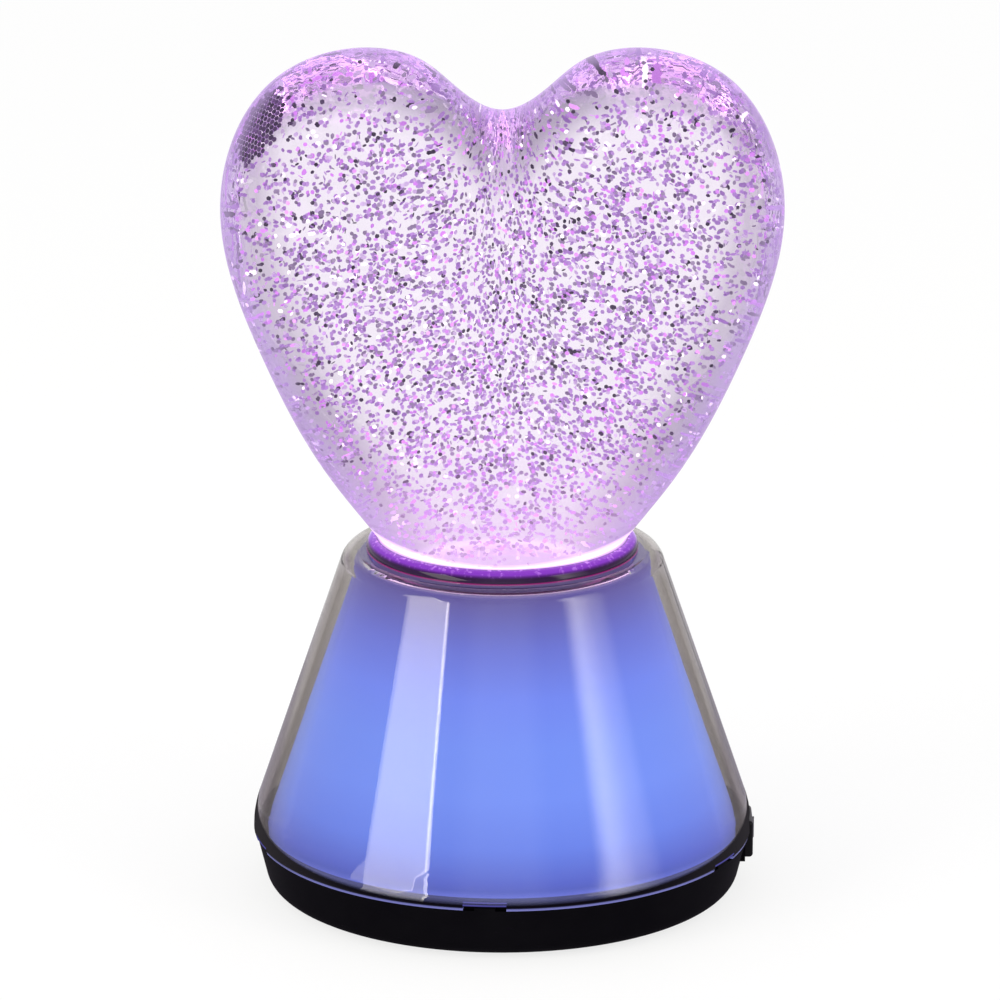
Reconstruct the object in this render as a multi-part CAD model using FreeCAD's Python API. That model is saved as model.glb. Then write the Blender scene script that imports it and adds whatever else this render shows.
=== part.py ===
import FreeCAD, Part
import math
import os

os.makedirs("parts", exist_ok=True)

# Heart glitter lamp: a clear liquid-filled heart on a lit cone over a black battery base.
# Millimetres, +Z up, the origin on the table under the middle of the base.
# The front is -Y and the switch is on +X.

# Fits and walls that several pieces share
RUNNING_FIT = 0.08
SLIDING_FIT = 0.15
ASSEMBLY_GAP = 0.4
SEAL_GAP = 0.15

# How close two places count as one, and how flat an edge counts as standing in one plane
SAME_PLACE = 1e-6
IN_ONE_PLANE = 1e-3

# Black base bowl
FOOT_STAND = 1.0
BOWL_RIM_RETREAT = 0.8
BOWL_TAPER = 3.4
BOWL_HEIGHT = 14.0
BOWL_FLOOR = 3.0
BOWL_WALL = 2.6
BOWL_EDGE_ROUND = 4.5
SPIGOT_HEIGHT = 2.6
SPIGOT_WALL = 1.6
LEDGE_THICKNESS = 2.4
LEDGE_WIDTH = 3.4

# Rubber feet
FOOT_COUNT = 4
FOOT_RADIUS = 5.0
FOOT_RECESS = 1.0
FOOT_INSET = 14.8

# Clear outer cone
SHELL_BASE_RADIUS = 69.0
SHELL_HEIGHT = 81.4
SHELL_WALL = 2.2
SHELL_LIP_RISE = 1.2
SHELL_LIP_RETREAT = 0.4
SHELL_SKIRT = 5.6
SHELL_SKIRT_FLAT = 0.4
SHELL_SEAM_GAP = 0.2
SHELL_CREST_ROUND = 5.0
SHOULDER_WIDTH = 5.9

# Locating keys between the bowl and the outer cone, unevenly spaced so that it fits one way round
KEY_ANGLES = (-94.0, -28.0, 51.0, 123.0, 195.0)
KEY_WIDTH = 5.6
KEY_HEIGHT = 0.9
KEY_NOTCH_WIDTH = 11.7
KEY_NOTCH_HEIGHT = 1.3

# Frosted diffuser cone
DIFFUSER_GAP = 2.5
DIFFUSER_WALL = 1.6
DIFFUSER_CREST_ROUND = 1.3
DIFFUSER_TOP_GAP = 1.2

# Glossy collar round the neck
COLLAR_RISE = 3.5
COLLAR_OVERLAP = 1.8
COLLAR_WALL = 2.15
COLLAR_LIP = 0.45
COLLAR_BEAD = 0.7
COLLAR_BEAD_HEIGHT = 0.8

# Heart vessel and its liquid
NECK_RADIUS = 33.2
VESSEL_WALL = 2.6
NECK_WALL = 3.0
HEART_HALF_WIDTH = 76.0
HEART_HALF_DEPTH = 43.5
HEART_HEIGHT = 135.2
HEART_SIDE_POWER = 2.4
HEART_SECTION_ANGLE = 7.5
HEART_LAST_ANGLE = 88.5
HEART_TRACE_STEPS = 400
HEART_HALVINGS = 50
HEART_NECK_MARGIN = 0.9
HEART_OVAL_POINTS = 12
NECK_OVERLAP = 2.5
# The half outline from the cleft over the lobe to the flank, as shares of half width and height
HEART_CLEFT = [(0.0, 0.874), (0.112, 0.898), (0.27, 0.970)]
HEART_LOBE = [(0.507, 1.0), (0.816, 0.933), (1.0, 0.710)]
HEART_FLANK = [(0.863, 0.380), (0.647, 0.146)]
HEART_TIP_DEPTH = 27.5

# Glitter: hexagons punched from film. The solids hold an even sample of the thousands that drift
FLAKE_ACROSS = 1.0
FLAKE_THICKNESS = 0.15
FLAKE_SPACING = 14.0
FLAKE_REACH = 0.9
FLAKE_LOWEST = 4.0

# Plug that closes the neck, its seal and its filler stopper
PLUG_DROP = 14.6
PLUG_PLATE = 2.4
PLUG_FLANGE_WIDTH = 1.2
PLUG_SPIGOT_HEIGHT = 6.0
PLUG_SPIGOT_WALL = 2.9
PLUG_BOSS_RADIUS = 3.2
PLUG_BOSS_HEIGHT = 0.6
SEAL_THICKNESS = 1.8
SEAL_BELOW_TOP = 1.6
STOPPER_RADIUS = 3.0
STOPPER_HEAD_RADIUS = 4.4
STOPPER_HEAD_HEIGHT = 1.2
STOPPER_CIRCLE = 22.0
STOPPER_ANGLE = 22.5

# Impeller that stirs the liquid
PIN_RADIUS = 1.0
PIN_HEAD_RADIUS = 2.4
PIN_HEAD_HEIGHT = 1.4
PIN_SET_DEPTH = 1.6
IMPELLER_RADIUS = 20.0
IMPELLER_DISC = 3.0
IMPELLER_BLADE_HEIGHT = 8.0
IMPELLER_BLADE_THICKNESS = 1.4
IMPELLER_BLADES = 4
IMPELLER_HUB_RADIUS = 3.4
AXIAL_PLAY = 0.3
FLAKE_CLEARANCE = 0.6

# Magnets of the drive
MAGNET_COUNT = 2
MAGNET_RADIUS = 4.0
MAGNET_THICKNESS = 2.2
MAGNET_CIRCLE = 9.5
CARRIER_RADIUS = 14.5
CARRIER_THICKNESS = 3.2
CARRIER_TOP_GAP = 0.6

# Tower that carries the heart, the motor and the upper lights
TOWER_RING_WIDTH = 4.2
TOWER_RING_HEIGHT = 5.0
TOWER_LIP = 1.4
TOWER_SHELF = 2.0
TOWER_LIP_HEIGHT = 1.6
POST_COUNT = 4
POST_RADIUS = 3.5
POST_CIRCLE = 35.5
POST_SOCKET_WALL = 1.4
POST_SOCKET_HEIGHT = 4.0

# Motor
MOTOR_RADIUS = 10.05
MOTOR_FLAT_WIDTH = 15.1
MOTOR_LENGTH = 25.0
MOTOR_SKIN = 0.8
MOTOR_CAP = 2.4
MOTOR_BOSS_RADIUS = 3.05
MOTOR_BOSS_HEIGHT = 1.6
MOTOR_AIR_GAP = 0.5
MAGNET_ARC_THICKNESS = 1.6
ROTOR_RADIUS = 5.2
ROTOR_END_GAP = 3.0
SHAFT_RADIUS = 1.0
SHAFT_TAIL = 1.2
CRADLE_WIDTH = 11.0
CRADLE_THICKNESS = 2.0
CRADLE_HOOK = 2.0

# Boards and lights
BOARD_THICKNESS = 1.6
BOARD_EDGE_GAP = 5.3
BOARD_HEADROOM = 3.4
STANDOFF_RADIUS = 3.2
STANDOFF_INSET = 5.0
STANDOFF_GAP = 2.0
LIGHT_SIZE = 5.0
LIGHT_HEIGHT = 1.6
CONE_LIGHT_COUNT = 8
CONE_LIGHT_INSET = 12.0
RING_LIGHT_COUNT = 8
RING_LIGHT_CIRCLE = 25.0
CHIP_LENGTH = 10.0
CHIP_WIDTH = 4.0
CHIP_HEIGHT = 1.75
CAPACITOR_RADIUS = 3.15
CAPACITOR_HEIGHT = 8.0
SOCKET_LENGTH = 7.4
SOCKET_WIDTH = 5.0
SOCKET_HEIGHT = 6.0

# Batteries, tray and door
CELL_COUNT = 3
CELL_RADIUS = 7.25
CELL_BODY_LENGTH = 49.2
CELL_TIP_LENGTH = 1.3
CELL_TIP_RADIUS = 2.75
CELL_PITCH = 15.2
CELL_REST_GAP = 0.3
TRAY_WALL = 1.6
CONTACT_THICKNESS = 0.5
CONTACT_WIDTH = 8.0
LEAF_REACH = 6.0
DOOR_THICKNESS = 2.0
DOOR_REST = 2.0
DOOR_EAR_RADIUS = 5.0
DOOR_EAR_ALONG = 18.0

# Screws
SCREW_RADIUS = 1.3
SCREW_HEAD_RADIUS = 2.6
SCREW_HEAD_HEIGHT = 1.2
TOWER_SCREW_LENGTH = 10.0
BOARD_SCREW_LENGTH = 7.0
DOOR_SCREW_LENGTH = 6.0

# Rocker switch, lying along the rim
BEZEL_WIDTH = 10.5
BEZEL_LENGTH = 15.0
BEZEL_THICKNESS = 2.2
BEZEL_ROUND = 1.0
SWITCH_BODY_WIDTH = 8.2
SWITCH_BODY_LENGTH = 13.2
SWITCH_BODY_DEPTH = 12.0
SWITCH_RISE = 12.8
SWITCH_PANEL_INSET = 1.7
SWITCH_PANEL = 2.0
BOSS_MARGIN = 0.8
BOSS_DEPTH = 8.3
BOSS_FOOT = 0.8
SWITCH_SIDE_ROOM = 0.6
BOSS_ROUND = 1.2
SWITCH_NOTCH_GAP = 0.5
ROCKER_LENGTH = 8.6
ROCKER_WIDTH = 6.0
ROCKER_DEPTH = 4.4
ROCKER_GAP = 0.2
ROCKER_SIDE_GAP = 0.25
ROCKER_PIVOT_DEPTH = 3.6
ROCKER_PIVOT_RADIUS = 0.8
ROCKER_DISH = 0.5
ROCKER_TILT = 8.0
ROCKER_PROUD = 0.1
ROCKER_BACK_ROOM = 2.4
TAB_LENGTH = 4.5
TAB_WIDTH = 2.8
TAB_THICKNESS = 0.8
TAB_SPACING = 7.0

# Leads
LEAD_RADIUS = 0.6
LEAD_BEND = 2.5
LEAD_PITCH = 2.0
LEAD_TURN_IN = 3.2


def corner_arc(before, corner, after, radius):
    """Start, middle and end of the arc that rounds a corner."""
    back = (before - corner).normalize()
    onward = (after - corner).normalize()
    half_angle = back.getAngle(onward) / 2
    inward = (back + onward).normalize()
    reach = radius / math.tan(half_angle)
    middle = corner + inward * (radius / math.sin(half_angle) - radius)
    return corner + back * reach, middle, corner + onward * reach


def rounded_wire(corners, closed):
    """Straight runs joined by tangent arcs. A corner is (place, radius)."""
    count = len(corners)
    places = [place for place, radius in corners]
    stations = []
    for index, (place, radius) in enumerate(corners):
        at_end = not closed and index in (0, count - 1)
        if radius == 0 or at_end:
            stations.append((place, None, place))
        else:
            stations.append(corner_arc(places[index - 1], place, places[(index + 1) % count], radius))
    edges = []
    for index, (start, middle, end) in enumerate(stations):
        if middle is not None:
            edges.append(Part.Arc(start, middle, end).toShape())
        if closed or index < count - 1:
            next_start = stations[(index + 1) % count][0]
            if end.distanceToPoint(next_start) > SAME_PLACE:
                edges.append(Part.LineSegment(end, next_start).toShape())
    return Part.Wire(edges)


def turned(*profile):
    """A solid turned about Z from corners (radius, height) or (radius, height, rounding)."""
    corners = [(FreeCAD.Vector(p[0], 0, p[1]), p[2] if len(p) > 2 else 0) for p in profile]
    return Part.Face(rounded_wire(corners, True)).revolve(FreeCAD.Vector(), FreeCAD.Vector(0, 0, 1), 360)


def disc(radius, low, high, x=0, y=0):
    return Part.makeCylinder(radius, high - low, FreeCAD.Vector(x, y, low))


def ring(inner, outer, low, high):
    return disc(outer, low, high).cut(disc(inner, low, high))


def block(x_range, y_range, z_range):
    corner = FreeCAD.Vector(x_range[0], y_range[0], z_range[0])
    sizes = (span[1] - span[0] for span in (x_range, y_range, z_range))
    return Part.makeBox(*sizes, corner)


def spun(shape, degrees):
    copy = shape.copy()
    copy.rotate(FreeCAD.Vector(), FreeCAD.Vector(0, 0, 1), degrees)
    return copy


def around(shape, count, first=0.0):
    """Copies of a shape at even steps about Z."""
    return [spun(shape, first + index * 360 / count) for index in range(count)]


def fused(*shapes):
    return shapes[0].fuse(list(shapes[1:])).removeSplitter()


def without(shape, *tools):
    return shape.cut(list(tools)).removeSplitter()


def lead(corners):
    """An insulated wire along straight runs with tangent bends."""
    places = [FreeCAD.Vector(*place) for place in corners]
    path = rounded_wire([(place, LEAD_BEND) for place in places], False)
    profile = Part.Wire(Part.Circle(places[0], places[1] - places[0], LEAD_RADIUS).toShape())
    return path.makePipeShell([profile], True, False)


def save(name, *shapes):
    """One solid or a group of separate solids in one node."""
    solids = [solid for shape in shapes for solid in shape.Solids]
    for solid in solids:
        if not solid.isValid():
            print(name, "is not valid")
    result = solids[0] if len(solids) == 1 else Part.makeCompound(solids)
    result.exportStep("parts/" + name + ".step")
    box = result.BoundBox
    print(f"{name}: {len(solids)} solid, {result.Volume:.1f} mm3, z {box.ZMin:.2f} to {box.ZMax:.2f}")


# Heights, from the table up
bowl_bottom = FOOT_STAND
bowl_floor_top = bowl_bottom + BOWL_FLOOR
bowl_rim = bowl_bottom + BOWL_HEIGHT
spigot_top = bowl_rim + SPIGOT_HEIGHT
shell_bottom = bowl_rim + SHELL_SEAM_GAP
shell_top = shell_bottom + SHELL_HEIGHT
collar_top = shell_top + COLLAR_RISE
heart_start = collar_top + SEAL_GAP
plug_bottom = shell_top - PLUG_DROP
plug_plate_top = plug_bottom + PLUG_PLATE
plug_top = plug_plate_top + PLUG_SPIGOT_HEIGHT
shelf_bottom = plug_bottom - TOWER_RING_HEIGHT - TOWER_SHELF
shelf_top = shelf_bottom + TOWER_SHELF
switch_height = bowl_bottom + SWITCH_RISE
cell_axis = bowl_bottom + BOWL_FLOOR + CELL_REST_GAP + CELL_RADIUS
tray_ceiling = cell_axis + CELL_RADIUS + CELL_REST_GAP
tray_top = tray_ceiling + TRAY_WALL
board_bottom = tray_top + BOARD_HEADROOM
board_top = board_bottom + BOARD_THICKNESS

# Radii of the base, from the outer cone in
bowl_rim_radius = SHELL_BASE_RADIUS - BOWL_RIM_RETREAT
bowl_bottom_radius = bowl_rim_radius - BOWL_TAPER
foot_circle = bowl_bottom_radius - FOOT_INSET
switch_panel = SHELL_BASE_RADIUS - SWITCH_PANEL_INSET
switch_front = switch_panel + BEZEL_THICKNESS
switch_back = switch_panel - SWITCH_BODY_DEPTH
tab_end = switch_back - TAB_LENGTH
rocker_pivot_reach = switch_front - ROCKER_PIVOT_DEPTH
control_board_radius = switch_back - BOARD_EDGE_GAP
cone_light_circle = control_board_radius - CONE_LIGHT_INSET

# Radii, from the neck out
vessel_bore = NECK_RADIUS - NECK_WALL
plug_flange_radius = NECK_RADIUS + PLUG_FLANGE_WIDTH
collar_inner = NECK_RADIUS + SLIDING_FIT
collar_skirt = collar_inner + COLLAR_WALL
collar_outer = collar_skirt + COLLAR_OVERLAP
shell_hole = collar_skirt + SLIDING_FIT
shell_crest_radius = collar_outer + SHOULDER_WIDTH
skirt_top = shell_bottom + SHELL_SKIRT
shell_slope = (SHELL_BASE_RADIUS - shell_crest_radius) / (shell_top - skirt_top)
half_turn = math.atan(shell_slope) / 2
skirt_round = (SHELL_SKIRT - SHELL_LIP_RISE - SHELL_SKIRT_FLAT) / math.tan(half_turn)
tower_ring_inner = plug_flange_radius - TOWER_RING_WIDTH / 2
tower_lip_inner = plug_flange_radius + ASSEMBLY_GAP
tower_outer = tower_lip_inner + TOWER_LIP

# Turns that set one pattern between the places of another
between_posts = 180 / POST_COUNT
between_cone_lights = 180 / CONE_LIGHT_COUNT
between_blades = 180 / IMPELLER_BLADES


def cone_radius(height, inset):
    """Radius at a height of a face that lies inset in the outer cone: upright at the skirt, then sloping."""
    sloping = SHELL_BASE_RADIUS - inset * math.hypot(1, shell_slope) - (height - skirt_top) * shell_slope
    return min(SHELL_BASE_RADIUS - inset, sloping)


def skirt_corner(inset):
    """Rounded corner between the skirt and the slope of such a face, as (radius, height, rounding)."""
    return SHELL_BASE_RADIUS - inset, skirt_top - inset * math.tan(half_turn), skirt_round - inset


def bowl_radius(height):
    return bowl_bottom_radius + (height - bowl_bottom) / BOWL_HEIGHT * BOWL_TAPER


def switch_opening(gap):
    """Space for the switch boss, wider than the boss by a gap."""
    half = BEZEL_LENGTH / 2 + BOSS_MARGIN + gap
    low = switch_height - BEZEL_WIDTH / 2 - BOSS_FOOT
    high = switch_height + BEZEL_WIDTH / 2 + BOSS_MARGIN + gap
    cutter = block((switch_panel - BOSS_DEPTH - gap, switch_front), (-half, half), (low, high))
    along_x = [edge for edge in cutter.Edges if abs(edge.tangentAt(edge.FirstParameter).x) > 0.9]
    upper = [edge for edge in along_x if edge.CenterOfMass.z > switch_height]
    return cutter.makeFillet(BOSS_ROUND + gap, upper)


def bowl_wall():
    """The bowl's floor and wall, the spigot that enters the outer cone and the diffuser's ledge."""
    wall_bottom = bowl_radius(bowl_floor_top) - BOWL_WALL
    wall_top = bowl_radius(bowl_rim) - BOWL_WALL
    spigot_outer = cone_radius(spigot_top, SHELL_WALL + SLIDING_FIT)
    ledge_inner = cone_radius(spigot_top, SHELL_WALL + DIFFUSER_GAP) - LEDGE_WIDTH
    return turned(
        (0, bowl_bottom),
        (bowl_bottom_radius, bowl_bottom, BOWL_EDGE_ROUND),
        (bowl_rim_radius, bowl_rim),
        (spigot_outer, bowl_rim),
        (spigot_outer, spigot_top),
        (spigot_outer - SPIGOT_WALL, spigot_top),
        (spigot_outer - SPIGOT_WALL, bowl_rim),
        (ledge_inner, bowl_rim),
        (ledge_inner, bowl_rim - LEDGE_THICKNESS),
        (wall_top, bowl_rim - LEDGE_THICKNESS),
        (wall_bottom, bowl_floor_top),
        (0, bowl_floor_top),
    )


def bowl_keys():
    """Low keys on the rim that find the notches of the outer cone."""
    inner = cone_radius(spigot_top, SHELL_WALL + SLIDING_FIT) - SPIGOT_WALL / 2
    half = KEY_WIDTH / 2
    key = block((0, SHELL_BASE_RADIUS), (-half, half), (bowl_rim, bowl_rim + KEY_HEIGHT))
    band = ring(inner, bowl_rim_radius, bowl_rim, bowl_rim + KEY_HEIGHT)
    return at_keys(key.common(band))


def at_keys(piece):
    return [copy for angle in KEY_ANGLES for copy in around(piece, 1, angle)]


def bowl_bosses():
    """Sockets for the tower's posts, standoffs for the board and the boss for the door's screw."""
    socket_radius = POST_RADIUS + SLIDING_FIT + POST_SOCKET_WALL
    socket = disc(socket_radius, bowl_bottom, bowl_floor_top + POST_SOCKET_HEIGHT, POST_CIRCLE)
    standoffs = [disc(STANDOFF_RADIUS, bowl_bottom, board_bottom, x, y) for x, y in standoff_places()]
    door_boss = disc(STANDOFF_RADIUS, bowl_bottom, bowl_floor_top + DOOR_SCREW_LENGTH, *door_ear_place())
    return around(socket, POST_COUNT) + standoffs + [door_boss]


def bowl_openings():
    """What is cut from the floor and the bosses: the door's way, screw holes and recesses."""
    post = disc(POST_RADIUS + SLIDING_FIT, bowl_floor_top, shelf_bottom, POST_CIRCLE)
    foot = disc(FOOT_RADIUS + SLIDING_FIT, bowl_bottom, bowl_bottom + FOOT_RECESS, foot_circle)
    board_hole = board_top - BOARD_SCREW_LENGTH
    openings = [door_plate(SLIDING_FIT), door_way()]
    openings.append(disc(SCREW_RADIUS, bowl_bottom, bowl_floor_top + DOOR_SCREW_LENGTH, *door_ear_place()))
    openings += around(post, POST_COUNT)
    openings += around(tower_screw_space(), POST_COUNT)
    openings += [disc(SCREW_RADIUS, board_hole, board_bottom, x, y) for x, y in standoff_places()]
    openings += around(foot, FOOT_COUNT, between_posts)
    return openings


def base_bowl():
    """The bowl with its raised boss for the switch, whose front wall is the switch's panel."""
    inner_half = SWITCH_BODY_LENGTH / 2 + SWITCH_SIDE_ROOM
    inner_high = switch_height + SWITCH_BODY_WIDTH / 2 + SWITCH_SIDE_ROOM
    boss_block = block(
        (0, switch_panel - SWITCH_PANEL), (-inner_half, inner_half), (bowl_floor_top, inner_high)
    )
    boss_inside = boss_block.common(switch_opening(0))
    boss = switch_opening(0).common(
        block((0, switch_panel), (-bowl_rim_radius, bowl_rim_radius), (0, shell_top))
    )
    window_half = SWITCH_BODY_LENGTH / 2 + SLIDING_FIT
    window_rise = SWITCH_BODY_WIDTH / 2 + SLIDING_FIT
    window = block(
        (0, switch_front),
        (-window_half, window_half),
        (switch_height - window_rise, switch_height + window_rise),
    )
    bezel_half = BEZEL_LENGTH / 2 + SLIDING_FIT
    bezel_low = switch_height - BEZEL_WIDTH / 2 - SLIDING_FIT
    in_front = block((switch_panel, switch_front), (-bezel_half, bezel_half), (bezel_low, spigot_top))
    bowl = fused(without(bowl_wall(), boss_inside), boss, *bowl_keys(), *bowl_bosses())
    return without(bowl, boss_inside, window, in_front, *bowl_openings())


def tower_screw_space():
    """Head recess and clearance hole for a screw that goes up into a tower post."""
    head = disc(SCREW_HEAD_RADIUS + SLIDING_FIT, bowl_bottom, bowl_bottom + SCREW_HEAD_HEIGHT, POST_CIRCLE)
    return head.fuse(disc(SCREW_RADIUS + SLIDING_FIT, bowl_bottom, bowl_floor_top, POST_CIRCLE))


def screw(length, under_head, x, y):
    """A pan-head screw whose head is below its seat and whose shank goes up."""
    head = disc(SCREW_HEAD_RADIUS, under_head - SCREW_HEAD_HEIGHT, under_head, x, y)
    slot_half = SCREW_RADIUS / 2
    depth = (under_head - SCREW_HEAD_HEIGHT, under_head - slot_half)
    slots = [
        block((x - long, x + long), (y - wide, y + wide), depth)
        for long, wide in ((SCREW_RADIUS, slot_half / 2), (slot_half / 2, SCREW_RADIUS))
    ]
    return without(fused(head, disc(SCREW_RADIUS, under_head, under_head + length, x, y)), *slots)


def door_half_sizes():
    """Half length and half width of the battery space."""
    half_length = (CELL_BODY_LENGTH + CELL_TIP_LENGTH + LEAF_REACH) / 2 + CONTACT_THICKNESS
    half_width = CELL_RADIUS + CELL_PITCH * (CELL_COUNT - 1) / 2 + CELL_REST_GAP
    return half_length, half_width


def door_ear_place():
    half_width = door_half_sizes()[1]
    return DOOR_EAR_ALONG, half_width + TRAY_WALL + STANDOFF_RADIUS + ASSEMBLY_GAP


def standoff_places():
    """Middles of the board's standoffs: on its screw circle, beside the battery tray."""
    y = door_half_sizes()[1] + TRAY_WALL + STANDOFF_RADIUS + STANDOFF_GAP
    x = math.sqrt((control_board_radius - STANDOFF_INSET) ** 2 - y**2)
    return [(x, y), (-x, y), (-x, -y), (x, -y)]


def door_plate(gap):
    """The battery door with its screw ear, wider by a gap."""
    half_length, half_width = door_half_sizes()
    x, y = door_ear_place()
    ear = DOOR_EAR_RADIUS + gap
    high = bowl_bottom + DOOR_THICKNESS
    plate = block(
        (-half_length - DOOR_REST - gap, half_length + DOOR_REST + gap),
        (-half_width - DOOR_REST - gap, half_width + DOOR_REST + gap),
        (bowl_bottom, high),
    )
    neck = block((x - ear, x + ear), (0, y), (bowl_bottom, high))
    return fused(plate, neck, disc(ear, bowl_bottom, high, x, y))


def door_way():
    """The opening through the bowl floor that the cells pass."""
    half_length, half_width = door_half_sizes()
    return block((-half_length, half_length), (-half_width, half_width), (bowl_bottom, bowl_floor_top))


def battery_door():
    x, y = door_ear_place()
    hole = disc(SCREW_RADIUS + SLIDING_FIT, bowl_bottom, bowl_floor_top, x, y)
    recess = disc(SCREW_HEAD_RADIUS + SLIDING_FIT, bowl_bottom, bowl_bottom + SCREW_HEAD_HEIGHT, x, y)
    return without(door_plate(0), hole, recess)


def battery_tray():
    half_length, half_width = door_half_sizes()
    outer = block(
        (-half_length - TRAY_WALL, half_length + TRAY_WALL),
        (-half_width - TRAY_WALL, half_width + TRAY_WALL),
        (bowl_floor_top, tray_top),
    )
    inner = block((-half_length, half_length), (-half_width, half_width), (bowl_floor_top, tray_ceiling))
    exits = []
    for way, y, radius in cell_lead_run(SLIDING_FIT):
        start = FreeCAD.Vector(way * half_length, y, cell_axis)
        exits.append(Part.makeCylinder(radius, TRAY_WALL, start, FreeCAD.Vector(way, 0, 0)))
    return without(outer, inner, *exits)


def cell_row():
    """Places across the tray, and which way each cell's tip points."""
    first = -CELL_PITCH * (CELL_COUNT - 1) / 2
    return [(first + index * CELL_PITCH, 1 if index % 2 == 0 else -1) for index in range(CELL_COUNT)]


def cell(y, way):
    half_length = door_half_sizes()[0]
    tip = half_length - CONTACT_THICKNESS
    body_end = tip - CELL_TIP_LENGTH
    along = FreeCAD.Vector(way, 0, 0)
    flat_end = FreeCAD.Vector(way * (body_end - CELL_BODY_LENGTH), y, cell_axis)
    shoulder = FreeCAD.Vector(way * body_end, y, cell_axis)
    body = Part.makeCylinder(CELL_RADIUS, CELL_BODY_LENGTH, flat_end, along)
    nub = Part.makeCylinder(CELL_TIP_RADIUS, CELL_TIP_LENGTH, shoulder, along)
    return fused(body, nub)


def flat_contact(y, way):
    """Plate on the tray wall that a cell's tip meets."""
    half_length = door_half_sizes()[0]
    span = sorted((way * (half_length - CONTACT_THICKNESS), way * half_length))
    half = CONTACT_WIDTH / 2
    return block(span, (y - half, y + half), (cell_axis - half, cell_axis + half))


def leaf_contact(y, way):
    """Bowed leaf that presses a cell's flat end, cut from one strip."""
    half_length = door_half_sizes()[0]
    half = CONTACT_WIDTH / 2
    wall = -way * half_length
    outward = [(0, -half), (0, half), (LEAF_REACH + CONTACT_THICKNESS, 0)]
    inward = [
        (CONTACT_THICKNESS, CONTACT_THICKNESS - half),
        (CONTACT_THICKNESS, half - 2 * CONTACT_THICKNESS),
        (LEAF_REACH - CONTACT_THICKNESS, 0),
    ]
    faces = []
    for outline in (outward, inward):
        places = [FreeCAD.Vector(wall + way * x, y - half, cell_axis + z) for x, z in outline]
        faces.append(Part.Face(Part.makePolygon(places + places[:1])))
    wide = FreeCAD.Vector(0, CONTACT_WIDTH, 0)
    return faces[0].extrude(wide).cut(faces[1].extrude(wide))


def outer_shell():
    lip = SHELL_BASE_RADIUS - SHELL_LIP_RETREAT
    ceiling = shell_top - SHELL_WALL
    shell = turned(
        (lip, shell_bottom),
        (SHELL_BASE_RADIUS, shell_bottom + SHELL_LIP_RISE),
        skirt_corner(0),
        (shell_crest_radius, shell_top, SHELL_CREST_ROUND),
        (shell_hole, shell_top),
        (shell_hole, ceiling),
        (cone_radius(ceiling, SHELL_WALL), ceiling, SHELL_CREST_ROUND - SHELL_WALL),
        skirt_corner(SHELL_WALL),
        (SHELL_BASE_RADIUS - SHELL_WALL, shell_bottom),
    )
    notch = block(
        (0, SHELL_BASE_RADIUS + SHELL_WALL),
        (-KEY_NOTCH_WIDTH / 2, KEY_NOTCH_WIDTH / 2),
        (shell_bottom, shell_bottom + KEY_NOTCH_HEIGHT),
    )
    return without(shell, switch_opening(SWITCH_NOTCH_GAP), *at_keys(notch))


def diffuser_cone():
    """Frosted cone that follows the outer cone inside and stands on the bowl's ledge."""
    outer = SHELL_WALL + DIFFUSER_GAP
    inner = outer + DIFFUSER_WALL
    top = shell_top - SHELL_WALL - DIFFUSER_TOP_GAP
    ceiling = top - DIFFUSER_WALL
    hole = collar_skirt + COLLAR_BEAD + ASSEMBLY_GAP
    diffuser = turned(
        (SHELL_BASE_RADIUS - outer, bowl_rim),
        skirt_corner(outer),
        (cone_radius(top, outer), top, DIFFUSER_CREST_ROUND),
        (hole, top),
        (hole, ceiling),
        (cone_radius(ceiling, inner), ceiling),
        skirt_corner(inner),
        (SHELL_BASE_RADIUS - inner, bowl_rim),
    )
    return without(diffuser, switch_opening(SWITCH_NOTCH_GAP))


def neck_collar():
    bead_top = shell_top - SHELL_WALL - SLIDING_FIT
    bead_radius = collar_skirt + COLLAR_BEAD
    skirt_bottom = plug_plate_top + ASSEMBLY_GAP
    collar = turned(
        (collar_inner, skirt_bottom),
        (collar_skirt, skirt_bottom),
        (collar_skirt, bead_top - COLLAR_BEAD_HEIGHT),
        (bead_radius, bead_top - COLLAR_BEAD_HEIGHT / 2),
        (bead_radius, bead_top),
        (collar_skirt, bead_top),
        (collar_skirt, shell_top),
        (collar_outer, shell_top),
        (collar_outer, collar_top, COLLAR_RISE - COLLAR_LIP),
        (collar_inner, collar_top),
    )
    return collar


def closed_curve(half_outline):
    """A smooth closed outline from its right half, and the parameter of the half's last place."""
    left = [FreeCAD.Vector(-place.x, 0, place.z) for place in half_outline[-2:0:-1]]
    curve = Part.BSplineCurve()
    curve.interpolate(Points=half_outline + left, PeriodicFlag=True)
    return curve, curve.parameter(half_outline[-1])


def heart_curve(inset):
    """The outline in the XZ plane, from the cleft round the right lobe to the hidden tip and back."""
    places = [
        FreeCAD.Vector(x * HEART_HALF_WIDTH, 0, heart_start + z * HEART_HEIGHT)
        for x, z in HEART_CLEFT + HEART_LOBE + HEART_FLANK
    ]
    places.append(FreeCAD.Vector(NECK_RADIUS + HEART_NECK_MARGIN, 0, heart_start))
    places.append(FreeCAD.Vector(0, 0, heart_start - HEART_TIP_DEPTH))
    curve, last = closed_curve(places)
    if inset == 0:
        return curve, last
    moved = []
    for place in places:
        along = curve.tangent(curve.parameter(place))[0]
        moved.append(place + FreeCAD.Vector(along.z, 0, -along.x) * inset)
    return closed_curve(moved)


def height_on(curve, x, start, end):
    """Height at which a rising or falling stretch of the outline passes x, by halving."""
    rising = curve.value(end).x > curve.value(start).x
    for _ in range(HEART_HALVINGS):
        middle = (start + end) / 2
        if (curve.value(middle).x < x) == rising:
            start = middle
        else:
            end = middle
    return curve.value((start + end) / 2).z


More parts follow.
